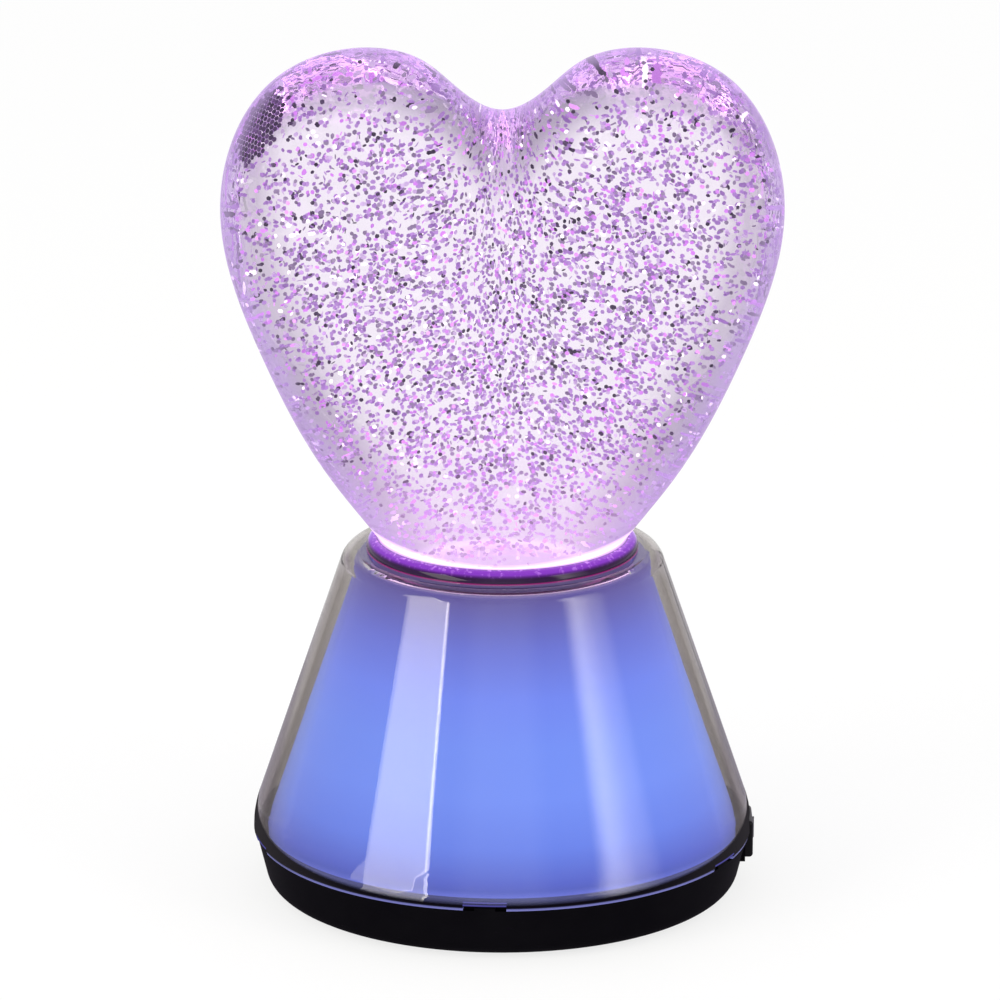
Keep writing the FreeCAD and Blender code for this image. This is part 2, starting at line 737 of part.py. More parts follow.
def heart_ovals(inset, shares):
    """Ovals across the heart at shares of its half width: x, half depth, middle and half height."""
    curve, last = heart_curve(inset)
    first = curve.FirstParameter
    step = (last - first) / HEART_TRACE_STEPS
    parameters = [first + step * index for index in range(HEART_TRACE_STEPS + 1)]
    widest = max(parameters, key=lambda parameter: curve.value(parameter).x)
    half_width = curve.value(widest).x
    half_depth = HEART_HALF_DEPTH - inset
    ovals = []
    for share in shares:
        x = half_width * share
        high = height_on(curve, abs(x), first, widest)
        low = height_on(curve, abs(x), widest, last)
        deep = half_depth * math.sqrt(1 - abs(share) ** HEART_SIDE_POWER)
        ovals.append((x, deep, (high + low) / 2, (high - low) / 2))
    return ovals


def heart_body(inset):
    """The puffed heart: its ovals joined by one smooth surface."""
    count = round(90 / HEART_SECTION_ANGLE) - 1
    angles = [index * HEART_SECTION_ANGLE for index in range(-count, count + 1)]
    angles = [-HEART_LAST_ANGLE] + angles + [HEART_LAST_ANGLE]
    ovals = heart_ovals(inset, [math.sin(math.radians(angle)) for angle in angles])
    corners = [math.radians(index * 360 / HEART_OVAL_POINTS) for index in range(HEART_OVAL_POINTS)]
    circle = Part.BSplineCurve()
    circle.interpolate(
        Points=[FreeCAD.Vector(0, math.cos(turn), math.sin(turn)) for turn in corners], PeriodicFlag=True
    )
    tracks = []
    for pole in circle.getPoles():
        track = Part.BSplineCurve()
        places = [FreeCAD.Vector(x, deep * pole.y, middle + half * pole.z) for x, deep, middle, half in ovals]
        track.interpolate(Points=places, Parameters=angles)
        tracks.append(track)
    surface = Part.BSplineSurface()
    surface.buildFromPolesMultsKnots(
        [list(row) for row in zip(*(track.getPoles() for track in tracks))],
        tracks[0].getMultiplicities(),
        circle.getMultiplicities(),
        tracks[0].getKnots(),
        circle.getKnots(),
        False,
        True,
        tracks[0].Degree,
        circle.Degree,
    )
    side = surface.toShape()
    rims = [edge for edge in side.Edges if edge.isClosed() and edge.BoundBox.XLength < IN_ONE_PLANE]
    ends = [Part.Face(Part.Wire(edge)) for edge in rims]
    shell = Part.makeShell([side] + ends)
    shell.sewShape()
    return Part.Solid(shell)


def above(height):
    reach = 2 * HEART_HALF_WIDTH
    return block((-reach, reach), (-reach, reach), (height, height + 2 * HEART_HEIGHT))


def heart_vessel():
    outer = heart_body(0).common(above(heart_start))
    outer = outer.fuse(disc(NECK_RADIUS, plug_plate_top, heart_start + NECK_OVERLAP))
    inner = heart_body(VESSEL_WALL).common(above(heart_start))
    inner = inner.fuse(disc(vessel_bore, plug_plate_top, heart_start + NECK_OVERLAP))
    return outer.cut(inner)


def flakes():
    """Hexagonal flakes in the liquid: a sunflower pattern in each oval, and each flake turned its own way."""
    corners = [(FLAKE_ACROSS / math.sqrt(3), index * 60) for index in range(7)]
    edge = Part.makePolygon(
        [
            FreeCAD.Vector(radius * math.cos(math.radians(turn)), radius * math.sin(math.radians(turn)), 0)
            for radius, turn in corners
        ]
    )
    hexagon = Part.Face(edge).extrude(FreeCAD.Vector(0, 0, FLAKE_THICKNESS))
    golden_turn = 180 * (3 - math.sqrt(5))
    slices = round(2 * FLAKE_REACH * HEART_HALF_WIDTH / FLAKE_SPACING)
    shares = [FLAKE_REACH * (2 * index + 1 - slices) / slices for index in range(slices)]
    made = []
    for x, deep, middle, half in heart_ovals(VESSEL_WALL + SEAL_GAP, shares):
        count = round(math.pi * deep * half / FLAKE_SPACING**2)
        for index in range(count):
            turn = (len(made) + index) * golden_turn
            reach = FLAKE_REACH * math.sqrt((index + 0.5) / count)
            height = middle + half * reach * math.sin(math.radians(turn))
            if height < heart_start + FLAKE_LOWEST:
                continue
            flake = hexagon.copy()
            flake.rotate(FreeCAD.Vector(), FreeCAD.Vector(1, 0, 0), turn)
            flake.rotate(FreeCAD.Vector(), FreeCAD.Vector(0, 0, 1), turn / 2)
            flake.translate(FreeCAD.Vector(x, deep * reach * math.cos(math.radians(turn)), height))
            made.append(flake)
    return made


def water_fill(drifting):
    """The liquid, with a hexagonal hollow round each flake."""
    water = heart_body(VESSEL_WALL + SEAL_GAP).common(above(heart_start + SEAL_GAP))
    bore = vessel_bore - SEAL_GAP
    water = water.fuse(disc(bore, plug_top + SEAL_GAP, heart_start + NECK_OVERLAP))
    cup = vessel_bore - SLIDING_FIT - PLUG_SPIGOT_WALL - SEAL_GAP
    water = water.fuse(disc(cup, plug_plate_top + SEAL_GAP, plug_top + NECK_OVERLAP))
    swept = disc(IMPELLER_RADIUS + FLAKE_CLEARANCE, plug_plate_top, impeller_top() + 2 * PIN_HEAD_HEIGHT)
    return water.cut([swept] + drifting)


def neck_plug():
    spigot = vessel_bore - SLIDING_FIT
    groove_top = plug_top - SEAL_BELOW_TOP
    plug = turned(
        (0, plug_bottom),
        (plug_flange_radius, plug_bottom),
        (plug_flange_radius, plug_plate_top),
        (spigot, plug_plate_top),
        (spigot, groove_top - SEAL_THICKNESS),
        (spigot - SEAL_THICKNESS, groove_top - SEAL_THICKNESS),
        (spigot - SEAL_THICKNESS, groove_top),
        (spigot, groove_top),
        (spigot, plug_top),
        (spigot - PLUG_SPIGOT_WALL, plug_top),
        (spigot - PLUG_SPIGOT_WALL, plug_plate_top),
        (PLUG_BOSS_RADIUS, plug_plate_top),
        (PLUG_BOSS_RADIUS, plug_plate_top + PLUG_BOSS_HEIGHT),
        (0, plug_plate_top + PLUG_BOSS_HEIGHT),
    )
    pin_seat = disc(PIN_RADIUS, plug_plate_top + PLUG_BOSS_HEIGHT - PIN_SET_DEPTH, plug_top)
    stopper_hole = spun(disc(STOPPER_RADIUS, plug_bottom, plug_plate_top, STOPPER_CIRCLE), STOPPER_ANGLE)
    return without(plug, pin_seat, stopper_hole)


def plug_seal():
    """Square-cut ring, squeezed flush between the plug's groove and the neck's bore."""
    inner = vessel_bore - SLIDING_FIT - SEAL_THICKNESS
    top = plug_top - SEAL_BELOW_TOP
    return ring(inner, vessel_bore, top - SEAL_THICKNESS, top)


def filler_stopper():
    head = disc(STOPPER_HEAD_RADIUS, plug_bottom - STOPPER_HEAD_HEIGHT, plug_bottom, STOPPER_CIRCLE)
    shank = disc(STOPPER_RADIUS, plug_bottom, plug_plate_top, STOPPER_CIRCLE)
    return spun(fused(head, shank), STOPPER_ANGLE)


def impeller_bottom():
    return plug_plate_top + PLUG_BOSS_HEIGHT + AXIAL_PLAY


def impeller_top():
    return impeller_bottom() + IMPELLER_DISC + IMPELLER_BLADE_HEIGHT


def impeller_pin():
    """Headed pin set in the plug's boss."""
    low = plug_plate_top + PLUG_BOSS_HEIGHT - PIN_SET_DEPTH
    head = impeller_top() + AXIAL_PLAY
    return fused(disc(PIN_RADIUS, low, head), disc(PIN_HEAD_RADIUS, head, head + PIN_HEAD_HEIGHT))


def magnets(top):
    return around(disc(MAGNET_RADIUS, top - MAGNET_THICKNESS, top, MAGNET_CIRCLE), MAGNET_COUNT)


def impeller():
    low, top = impeller_bottom(), impeller_top()
    disc_top = low + IMPELLER_DISC
    plate = disc(CARRIER_RADIUS, low, disc_top)
    hub = disc(IMPELLER_HUB_RADIUS, low, top)
    half = IMPELLER_BLADE_THICKNESS / 2
    blade = block((0, IMPELLER_RADIUS), (-half, half), (low + IMPELLER_DISC / 2, top))
    wheel = fused(plate, hub, *around(blade, IMPELLER_BLADES, between_blades))
    pockets = magnets(low + MAGNET_THICKNESS)
    return without(wheel, disc(PIN_RADIUS + RUNNING_FIT, low, top), *pockets)


def magnet_carrier():
    top = plug_bottom - CARRIER_TOP_GAP
    plate = disc(CARRIER_RADIUS, top - CARRIER_THICKNESS, top)
    return without(plate, disc(SHAFT_RADIUS, top - CARRIER_THICKNESS, top), *magnets(top))


def tower():
    shelf = disc(tower_outer, shelf_bottom, shelf_top)
    wall = ring(tower_ring_inner, tower_outer, shelf_bottom, plug_bottom)
    lip = ring(tower_lip_inner, tower_outer, plug_bottom, plug_bottom + TOWER_LIP_HEIGHT)
    posts = around(disc(POST_RADIUS, bowl_floor_top, shelf_top, POST_CIRCLE), POST_COUNT)
    grip = MOTOR_FLAT_WIDTH / 2 + SLIDING_FIT
    hook_top = shelf_bottom - MOTOR_LENGTH - MOTOR_CAP - SLIDING_FIT
    hook_bottom = hook_top - CRADLE_THICKNESS
    width = (-CRADLE_WIDTH / 2, CRADLE_WIDTH / 2)
    outer = grip + CRADLE_THICKNESS
    arm = block(width, (grip, outer), (hook_bottom, shelf_bottom))
    hook = block(width, (grip - CRADLE_HOOK, outer), (hook_bottom, hook_top))
    frame = fused(shelf, wall, lip, *posts, *around(fused(arm, hook), 2))
    screw_end = bowl_bottom + SCREW_HEAD_HEIGHT + TOWER_SCREW_LENGTH
    screw_holes = around(disc(SCREW_RADIUS, bowl_floor_top, screw_end, POST_CIRCLE), POST_COUNT)
    boss_hole = disc(MOTOR_BOSS_RADIUS + SLIDING_FIT, shelf_bottom, shelf_top)
    return without(frame, boss_hole, lead_slot(), *screw_holes)


def lead_slot():
    """Hole through the shelf for the upper board's leads."""
    half = 2 * LEAD_PITCH
    x = RING_LIGHT_CIRCLE
    return block((x - half / 2, x + half / 2), (-half, half), (shelf_bottom, shelf_top))


def motor_body(radius, half_flat, low, high):
    flats = block((-radius, radius), (-half_flat, half_flat), (low, high))
    return disc(radius, low, high).common(flats)


def motor_can():
    low = shelf_bottom - MOTOR_LENGTH
    flat = MOTOR_FLAT_WIDTH / 2
    outer = motor_body(MOTOR_RADIUS, flat, low, shelf_bottom)
    inner = motor_body(MOTOR_RADIUS - MOTOR_SKIN, flat - MOTOR_SKIN, low, shelf_bottom - MOTOR_SKIN)
    boss = disc(MOTOR_BOSS_RADIUS, shelf_bottom, shelf_bottom + MOTOR_BOSS_HEIGHT)
    bore = disc(SHAFT_RADIUS + RUNNING_FIT, low, shelf_top)
    return without(fused(without(outer, inner), boss), bore)


def motor_end_cap():
    high = shelf_bottom - MOTOR_LENGTH
    cap = motor_body(MOTOR_RADIUS, MOTOR_FLAT_WIDTH / 2, high - MOTOR_CAP, high)
    return without(cap, disc(SHAFT_RADIUS + RUNNING_FIT, high - MOTOR_CAP, high))


def motor_magnets():
    """Two arc magnets on the round sides of the can."""
    low = shelf_bottom - MOTOR_LENGTH + ROTOR_END_GAP
    high = shelf_bottom - MOTOR_SKIN - ROTOR_END_GAP
    outer = MOTOR_RADIUS - MOTOR_SKIN
    arcs = ring(outer - MAGNET_ARC_THICKNESS, outer, low, high)
    side = MOTOR_FLAT_WIDTH / 2 - MOTOR_SKIN
    window = block((0, outer), (-side, side), (low, high))
    return [arcs.common(window), arcs.common(spun(window, 180))]


def motor_rotor():
    low = shelf_bottom - MOTOR_LENGTH + ROTOR_END_GAP
    high = shelf_bottom - MOTOR_SKIN - ROTOR_END_GAP
    core = disc(ROTOR_RADIUS, low, high)
    slot = block((SHAFT_RADIUS * 2, ROTOR_RADIUS), (-MOTOR_AIR_GAP, MOTOR_AIR_GAP), (low, high))
    return without(core, disc(SHAFT_RADIUS, low, high), *around(slot, 3))


def motor_shaft():
    low = shelf_bottom - MOTOR_LENGTH - MOTOR_CAP - SHAFT_TAIL
    return disc(SHAFT_RADIUS, low, plug_bottom - CARRIER_TOP_GAP)


def lights(count, circle, floor, first):
    half = LIGHT_SIZE / 2
    light = block((circle - half, circle + half), (-half, half), (floor, floor + LIGHT_HEIGHT))
    return around(light, count, first)


def control_board():
    board = disc(control_board_radius, board_bottom, board_top)
    post_holes = around(disc(POST_RADIUS + ASSEMBLY_GAP, board_bottom, board_top, POST_CIRCLE), POST_COUNT)
    screw_hole = SCREW_RADIUS + SLIDING_FIT
    screw_holes = [disc(screw_hole, board_bottom, board_top, x, y) for x, y in standoff_places()]
    return without(board, *post_holes, *screw_holes)


def ring_board():
    inner = CARRIER_RADIUS + 2 * ASSEMBLY_GAP
    return ring(inner, tower_ring_inner - ASSEMBLY_GAP, shelf_top, shelf_top + BOARD_THICKNESS)


def board_screw(x, y):
    """A screw that goes down through the board into its standoff."""
    upside_down = screw(BOARD_SCREW_LENGTH, 0, 0, 0)
    upside_down.rotate(FreeCAD.Vector(), FreeCAD.Vector(1, 0, 0), 180)
    upside_down.translate(FreeCAD.Vector(x, y, board_top))
    return upside_down


def socket_places():
    """Middles of the lead sockets on the control board."""
    inner = POST_CIRCLE - POST_RADIUS - SOCKET_LENGTH
    return {"motor": (0, -inner / 2), "lights": (inner, 0)}


def lead_sockets():
    half_length, half_width = SOCKET_LENGTH / 2, SOCKET_WIDTH / 2
    height = (board_top, board_top + SOCKET_HEIGHT)
    return [
        block((x - half_width, x + half_width), (y - half_length, y + half_length), height)
        for x, y in socket_places().values()
    ]


def driver_chip():
    return block((-CHIP_LENGTH, 0), (CHIP_WIDTH, 2 * CHIP_WIDTH), (board_top, board_top + CHIP_HEIGHT))


def capacitor():
    return disc(CAPACITOR_RADIUS, board_top, board_top + CAPACITOR_HEIGHT, CHIP_LENGTH, CHIP_LENGTH)


def laid_along_rim(piece):
    """The switch's pieces are drawn upright and then turned, their upper end to the back."""
    piece.rotate(FreeCAD.Vector(0, 0, switch_height), FreeCAD.Vector(1, 0, 0), -90)
    return piece


def switch_housing():
    bezel = block(
        (switch_panel, switch_front),
        (-BEZEL_WIDTH / 2, BEZEL_WIDTH / 2),
        (switch_height - BEZEL_LENGTH / 2, switch_height + BEZEL_LENGTH / 2),
    )
    outer_edges = [edge for edge in bezel.Edges if edge.BoundBox.XMax > switch_panel + BEZEL_THICKNESS / 2]
    bezel = bezel.makeFillet(BEZEL_ROUND, outer_edges)
    body = block(
        (switch_back, switch_panel),
        (-SWITCH_BODY_WIDTH / 2, SWITCH_BODY_WIDTH / 2),
        (switch_height - SWITCH_BODY_LENGTH / 2, switch_height + SWITCH_BODY_LENGTH / 2),
    )
    half_wide = ROCKER_WIDTH / 2 + ROCKER_SIDE_GAP
    tilt = math.radians(ROCKER_TILT)
    corner_depth = ROCKER_PIVOT_DEPTH + ROCKER_PROUD
    half_long = ROCKER_LENGTH / 2 * math.cos(tilt) + corner_depth * math.sin(tilt) + ROCKER_GAP
    window = block(
        (switch_front - ROCKER_DEPTH - ROCKER_BACK_ROOM, switch_front),
        (-half_wide, half_wide),
        (switch_height - half_long, switch_height + half_long),
    )
    pivot = rocker_pivot(SWITCH_BODY_WIDTH / 2, ROCKER_PIVOT_RADIUS + RUNNING_FIT)
    return laid_along_rim(without(fused(bezel, body), window, pivot))


def rocker_pivot(half_length, radius):
    place = FreeCAD.Vector(rocker_pivot_reach, -half_length, switch_height)
    return Part.makeCylinder(radius, 2 * half_length, place, FreeCAD.Vector(0, 1, 0))


def switch_rocker():
    """The rocker, tilted to the side where its front half is pressed."""
    front = switch_front + ROCKER_PROUD
    half = ROCKER_LENGTH / 2
    back = front - ROCKER_DEPTH
    outline = [(back, -half / 2), (front, -half), (front - ROCKER_DISH, 0), (front, half), (back, half / 2)]
    places = [FreeCAD.Vector(x, -ROCKER_WIDTH / 2, switch_height + z) for x, z in outline]
    body = Part.Face(Part.makePolygon(places + places[:1])).extrude(FreeCAD.Vector(0, ROCKER_WIDTH, 0))
    stub_reach = ROCKER_WIDTH / 2 + ROCKER_SIDE_GAP + (SWITCH_BODY_WIDTH - ROCKER_WIDTH) / 4
    rocker = fused(body, rocker_pivot(stub_reach, ROCKER_PIVOT_RADIUS))
    rocker.rotate(FreeCAD.Vector(rocker_pivot_reach, 0, switch_height), FreeCAD.Vector(0, 1, 0), ROCKER_TILT)
    return laid_along_rim(rocker)


def switch_terminals():
    tabs = []
    for side in (-1, 1):
        middle = side * TAB_SPACING / 2
        tabs.append(
            block(
                (tab_end, switch_back),
                (middle - TAB_THICKNESS / 2, middle + TAB_THICKNESS / 2),
                (switch_height - TAB_WIDTH / 2, switch_height + TAB_WIDTH / 2),
            )
        )
    return tabs


def motor_leads():
    """From the motor's end cap down to the board's socket."""
    x, y = socket_places()["motor"]
    start = shelf_bottom - MOTOR_LENGTH - MOTOR_CAP
    socket_top = board_top + SOCKET_HEIGHT
    turn = (start + socket_top) / 2
    leads = []
    for side in (-1, 1):
        across = side * LEAD_PITCH
        leads.append(
            lead(
                [
                    (across * 2, -CRADLE_HOOK, start),
                    (across * 2, -CRADLE_HOOK, turn + LEAD_BEND),
                    (x, y + across, turn - LEAD_BEND),
                    (x, y + across, socket_top),
                ]
            )
        )
    return leads


def light_leads():
    """From the upper board's underside through the shelf to the board's socket."""
    x, y = socket_places()["lights"]
    socket_top = board_top + SOCKET_HEIGHT
    turn = (shelf_bottom + socket_top) / 2
    leads = []
    for side in (-1, 1):
        across = y + side * LEAD_PITCH
        leads.append(
            lead(
                [
                    (RING_LIGHT_CIRCLE, across, shelf_top),
                    (RING_LIGHT_CIRCLE, across, turn + LEAD_PITCH * 3),
                    (x, across, turn - LEAD_PITCH * 3),
                    (x, across, socket_top),
                ]
            )
        )
    return leads


def switch_leads():
    """From the switch's tabs in under the control board and up to it."""
    leads = []
    for side in (-1, 1):
        across = side * TAB_SPACING / 2
        inner = tab_end - LEAD_TURN_IN
        corner = (inner, across, switch_height)
        leads.append(lead([(tab_end, across, switch_height), corner, (inner, across, board_bottom)]))
    return leads


def cell_lead_run(gap):
    """Start of the first cell's lead and of the last cell's, as (x sign, y, radius)."""
    rows = cell_row()
    return [(rows[0][1], rows[0][0], LEAD_RADIUS + gap), (-rows[-1][1], rows[-1][0], LEAD_RADIUS + gap)]


def battery_leads():
    """From the end contacts out through the tray's walls and up to the control board."""
    half_length = door_half_sizes()[0]
    out = half_length + TRAY_WALL + LEAD_BEND
    leads = []
    for way, y, radius in cell_lead_run(0):
        leads.append(
            lead([(way * half_length, y, cell_axis), (way * out, y, cell_axis), (way * out, y, board_bottom)])
        )
    return leads


def main():
    save("base_bowl", base_bowl())
    foot = disc(FOOT_RADIUS, 0, bowl_bottom + FOOT_RECESS, foot_circle)
    save("rubber_feet", *around(foot, FOOT_COUNT, between_posts))
    save("battery_door", battery_door())
    save("door_screw", screw(DOOR_SCREW_LENGTH, bowl_bottom + SCREW_HEAD_HEIGHT, *door_ear_place()))
    save("battery_tray", battery_tray())
    for name, (y, way) in zip(("cell_front", "cell_middle", "cell_back"), cell_row()):
        save(name, cell(y, way))
    save("flat_contacts", *[flat_contact(y, way) for y, way in cell_row()])
    save("leaf_contacts", *[leaf_contact(y, way) for y, way in cell_row()])
    save("outer_shell", outer_shell())
    save("diffuser_cone", diffuser_cone())
    save("neck_collar", neck_collar())
    save("heart_vessel", heart_vessel())
    drifting = flakes()
    save("water_fill", water_fill(drifting))
    save("glitter_flakes", *drifting)
    save("neck_plug", neck_plug())
    save("plug_seal", plug_seal())
    save("filler_stopper", filler_stopper())
    save("impeller_pin", impeller_pin())
    save("impeller", impeller())
    save("impeller_magnets", *magnets(impeller_bottom() + MAGNET_THICKNESS))
    save("magnet_carrier", magnet_carrier())
    save("drive_magnets", *magnets(plug_bottom - CARRIER_TOP_GAP))
    save("support_tower", tower())
    tower_screw = screw(TOWER_SCREW_LENGTH, bowl_bottom + SCREW_HEAD_HEIGHT, POST_CIRCLE, 0)
    save("tower_screws", *around(tower_screw, POST_COUNT))
    save("motor_can", motor_can())
    save("motor_end_cap", motor_end_cap())
    save("motor_magnets", *motor_magnets())
    save("motor_rotor", motor_rotor())
    save("motor_shaft", motor_shaft())
    save("control_board", control_board())
    save("board_screws", *[board_screw(x, y) for x, y in standoff_places()])
    save("cone_lights", *lights(CONE_LIGHT_COUNT, cone_light_circle, board_top, between_cone_lights))
    save("driver_chip", driver_chip())
    save("capacitor", capacitor())
    save("lead_sockets", *lead_sockets())
    save("ring_board", ring_board())
    save("heart_lights", *lights(RING_LIGHT_COUNT, RING_LIGHT_CIRCLE, shelf_top + BOARD_THICKNESS, 0))
    save("switch_housing", switch_housing())
    save("switch_rocker", switch_rocker())
    save("switch_terminals", *switch_terminals())
    save("motor_leads", *motor_leads())
    save("light_leads", *light_leads())
    save("switch_leads", *switch_leads())
    save("battery_leads", *battery_leads())


main()
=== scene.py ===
"""The look of the heart glitter lamp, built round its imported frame.

A clear heart full of liquid and glitter stands in a glossy ring on a smoked cone that is lit blue from inside, over
a matte black base with a rocker switch on its right side. Lengths are in metres, in the frame of the part, and those
whose names end in mm are in millimetres.
"""

import logging
import math
import random
from collections.abc import Iterator
from dataclasses import dataclass, field
from enum import Enum
from typing import ClassVar

import bmesh
import bpy
from mathutils import Euler, Matrix, Quaternion, Vector
from mathutils.bvhtree import BVHTree


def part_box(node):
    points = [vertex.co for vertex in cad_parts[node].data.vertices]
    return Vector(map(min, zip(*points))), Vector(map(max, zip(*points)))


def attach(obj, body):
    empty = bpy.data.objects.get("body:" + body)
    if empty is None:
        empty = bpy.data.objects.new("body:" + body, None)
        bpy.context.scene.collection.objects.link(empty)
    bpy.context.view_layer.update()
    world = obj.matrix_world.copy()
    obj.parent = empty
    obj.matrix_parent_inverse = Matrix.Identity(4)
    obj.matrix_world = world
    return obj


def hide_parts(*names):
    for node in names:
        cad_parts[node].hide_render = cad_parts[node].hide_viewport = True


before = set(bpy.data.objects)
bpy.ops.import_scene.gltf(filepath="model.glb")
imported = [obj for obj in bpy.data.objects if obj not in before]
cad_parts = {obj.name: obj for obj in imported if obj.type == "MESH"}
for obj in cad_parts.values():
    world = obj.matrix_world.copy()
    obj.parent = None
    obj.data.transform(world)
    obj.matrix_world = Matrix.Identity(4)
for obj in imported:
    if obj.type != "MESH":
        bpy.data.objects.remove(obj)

LOG = logging.getLogger("heart_glitter_lamp")
MM = 0.001
BODY = "lamp"
WHITE = "#FFFFFF"
BLACK = "#000000"
# A band of painted shade or painted light ends sharply on its wall, and painted light that comes up from the foot
# ends softly.
SHARP_MM = 0.3
SOFT_MM = 0.9
ACRYLIC_IOR = 1.49
LIQUID_IOR = 1.34

Tree = bpy.types.NodeTree
Stops = tuple[tuple[float, str], ...]
# What feeds an input: a socket, or a node by its first output in use.
Feed = bpy.types.NodeSocket | bpy.types.Node

# The studio's light ends to the left and right of the lamp: what gloss and clear walls show there is greyer.
SIDES: Stops = ((0.22, WHITE), (0.42, "#CBC5D0"), (1.0, "#D2CDD8"))


def linear(code: str) -> tuple[float, float, float, float]:
    """Turns an sRGB hex value to a linear colour.

    Args:
        code: Six hexadecimal digits after a hash sign.

    Returns:
        Red, green and blue from 0 to 1, and an alpha of 1.
    """
    parts = [int(code[place : place + 2], 16) / 255 for place in (1, 3, 5)]
    red, green, blue = (part / 12.92 if part <= 0.04045 else ((part + 0.055) / 1.055) ** 2.4 for part in parts)
    return red, green, blue, 1.0


def add(tree: Tree, kind: str, inputs: dict | None = None, stops: Stops = (), **settings: object) -> bpy.types.Node:
    """Adds one node with its settings, numbers, links and colour stops.

    Args:
        tree: Node tree that gets the node.
        kind: Blender's own name of the node, after "ShaderNode".
        inputs: For each input, by name or number, a value or what feeds it.
        stops: Positions with their hex colours, in rising order, where the node turns a number to a colour.
        settings: Properties of the node.

    Returns:
        The node.
    """
    node = tree.nodes.new("ShaderNode" + kind)
    for name, value in settings.items():
        setattr(node, name, value)
    for name, value in (inputs or {}).items():
        if isinstance(value, bpy.types.Node):
            value = next(output for output in value.outputs if output.enabled)
        if isinstance(value, bpy.types.NodeSocket):
            tree.links.new(value, node.inputs[name])
        else:
            node.inputs[name].default_value = value
    if stops:
        marks = node.color_ramp.elements
        while len(marks) < len(stops):
            marks.new(0.5)
        for mark, (position, code) in zip(marks, stops):
            mark.position = position
            mark.color = linear(code)
    return node


def height(tree: Tree, low_mm: float, high_mm: float, drop: Feed | float = 0.0) -> Feed:
    """Gives how far up the lamp a point lies.

    Args:
        tree: Node tree that gets the nodes.
        low_mm: Height at which the number is 0.
        high_mm: Height at which the number is 1.
        drop: What is first taken off the point's height.

    Returns:
        The number, held between 0 and 1.
    """
    place = add(tree, "TexCoord").outputs["Object"]
    rise = add(tree, "SeparateXYZ", {"Vector": place}).outputs["Z"]
    level = add(tree, "Math", {0: rise, 1: drop}, operation="SUBTRACT")
    return add(tree, "MapRange", {"Value": level, "From Min": low_mm * MM, "From Max": high_mm * MM})


def noise(tree: Tree, size_mm: float, detail: float = 2.0) -> Feed:
    """Gives a cloudy pattern of a real size.

    Args:
        tree: Node tree that gets the nodes.
        size_mm: Distance from one cloud to the next.
        detail: How many finer layers it has.

    Returns:
        A number from 0 to 1.
    """
    place = add(tree, "TexCoord").outputs["Object"]
    return add(tree, "TexNoise", {"Vector": place, "Scale": 1 / (size_mm * MM), "Detail": detail})


def by_slant(tree: Tree, stops: Stops) -> Feed | tuple[float, ...]:
    """Gives a colour by the slant at which a face is looked at, or an even colour.

    Args:
        tree: Node tree that gets the nodes.
        stops: Colours from straight on, at 0, to edge-on, at 1, or one colour alone.

    Returns:
        The colour.
    """
    if len(stops) == 1:
        return linear(stops[0][1])
    facing = add(tree, "LayerWeight", {"Blend": 0.5}).outputs["Facing"]
    return add(tree, "ValToRGB", {"Fac": facing}, stops)


def lets_lamps_through(tree: Tree, clear: Feed) -> Feed:
    """Makes a clear shader throw no hard shadow, as thin clear walls don't.

    Args:
        tree: Node tree that gets the nodes.
        clear: The clear shader.

    Returns:
        The shader that is see-through for a lamp's rays.
    """
    shadow = add(tree, "LightPath").outputs["Is Shadow Ray"]
    return add(tree, "MixShader", {0: shadow, 1: clear, 2: add(tree, "BsdfTransparent")})


def seen_directly(tree: Tree) -> Feed:
    """Tells rays that show the background, straight, in gloss or through something clear, from those that light.

    Args:
        tree: Node tree that gets the nodes.

    Returns:
        1 where the background is seen, and 0 where it lights.
    """
    path = add(tree, "LightPath").outputs
    two = add(tree, "Math", {0: path["Is Camera Ray"], 1: path["Is Glossy Ray"]}, operation="MAXIMUM")
    return add(tree, "Math", {0: two, 1: path["Is Transmission Ray"]}, operation="MAXIMUM")


def surroundings(tree: Tree, place: Feed, shade: Feed) -> Feed:
    """Gives what the studio shows: white to the camera, and to gloss and clear walls a shade that is greyer sideways.

    Args:
        tree: Node tree that gets the nodes.
        place: The place or direction, from the lamp.
        shade: The shade straight behind or before the lamp.

    Returns:
        The colour.
    """
    unit = add(tree, "VectorMath", {0: place}, operation="NORMALIZE")
    across = add(tree, "SeparateXYZ", {"Vector": unit}).outputs["X"]
    side = add(tree, "ValToRGB", {"Fac": add(tree, "Math", {0: across}, operation="ABSOLUTE")}, SIDES)
    inputs = {"Factor": 1.0, "A": shade, "B": side}
    behind = add(tree, "Mix", inputs, data_type="RGBA", blend_type="MULTIPLY")
    straight = add(tree, "LightPath").outputs["Is Camera Ray"]
    return add(tree, "Mix", {"Factor": straight, "A": behind, "B": linear(WHITE)}, data_type="RGBA")


@dataclass(frozen=True)
class Finish:
    """What all finishes share: a maker's name, and one Blender material that is made once."""

    name: str

    def material(self) -> bpy.types.Material:
        """Makes the material, or hands back the one that was made before.

        Returns:
            The Blender material.
        """
        made = bpy.data.materials.get(self.name)
        if made is None:
            made = bpy.data.materials.new(self.name)
            made.use_nodes = True
            tree = made.node_tree
            tree.nodes.clear()
            add(tree, "OutputMaterial", {"Surface": self.surface(tree)})
        return made

    def surface(self, tree: Tree) -> Feed:
        """Adds the finish's nodes.

        Args:
            tree: Node tree of the material.

        Returns:
            The shader that goes to the output.
        """
        raise NotImplementedError


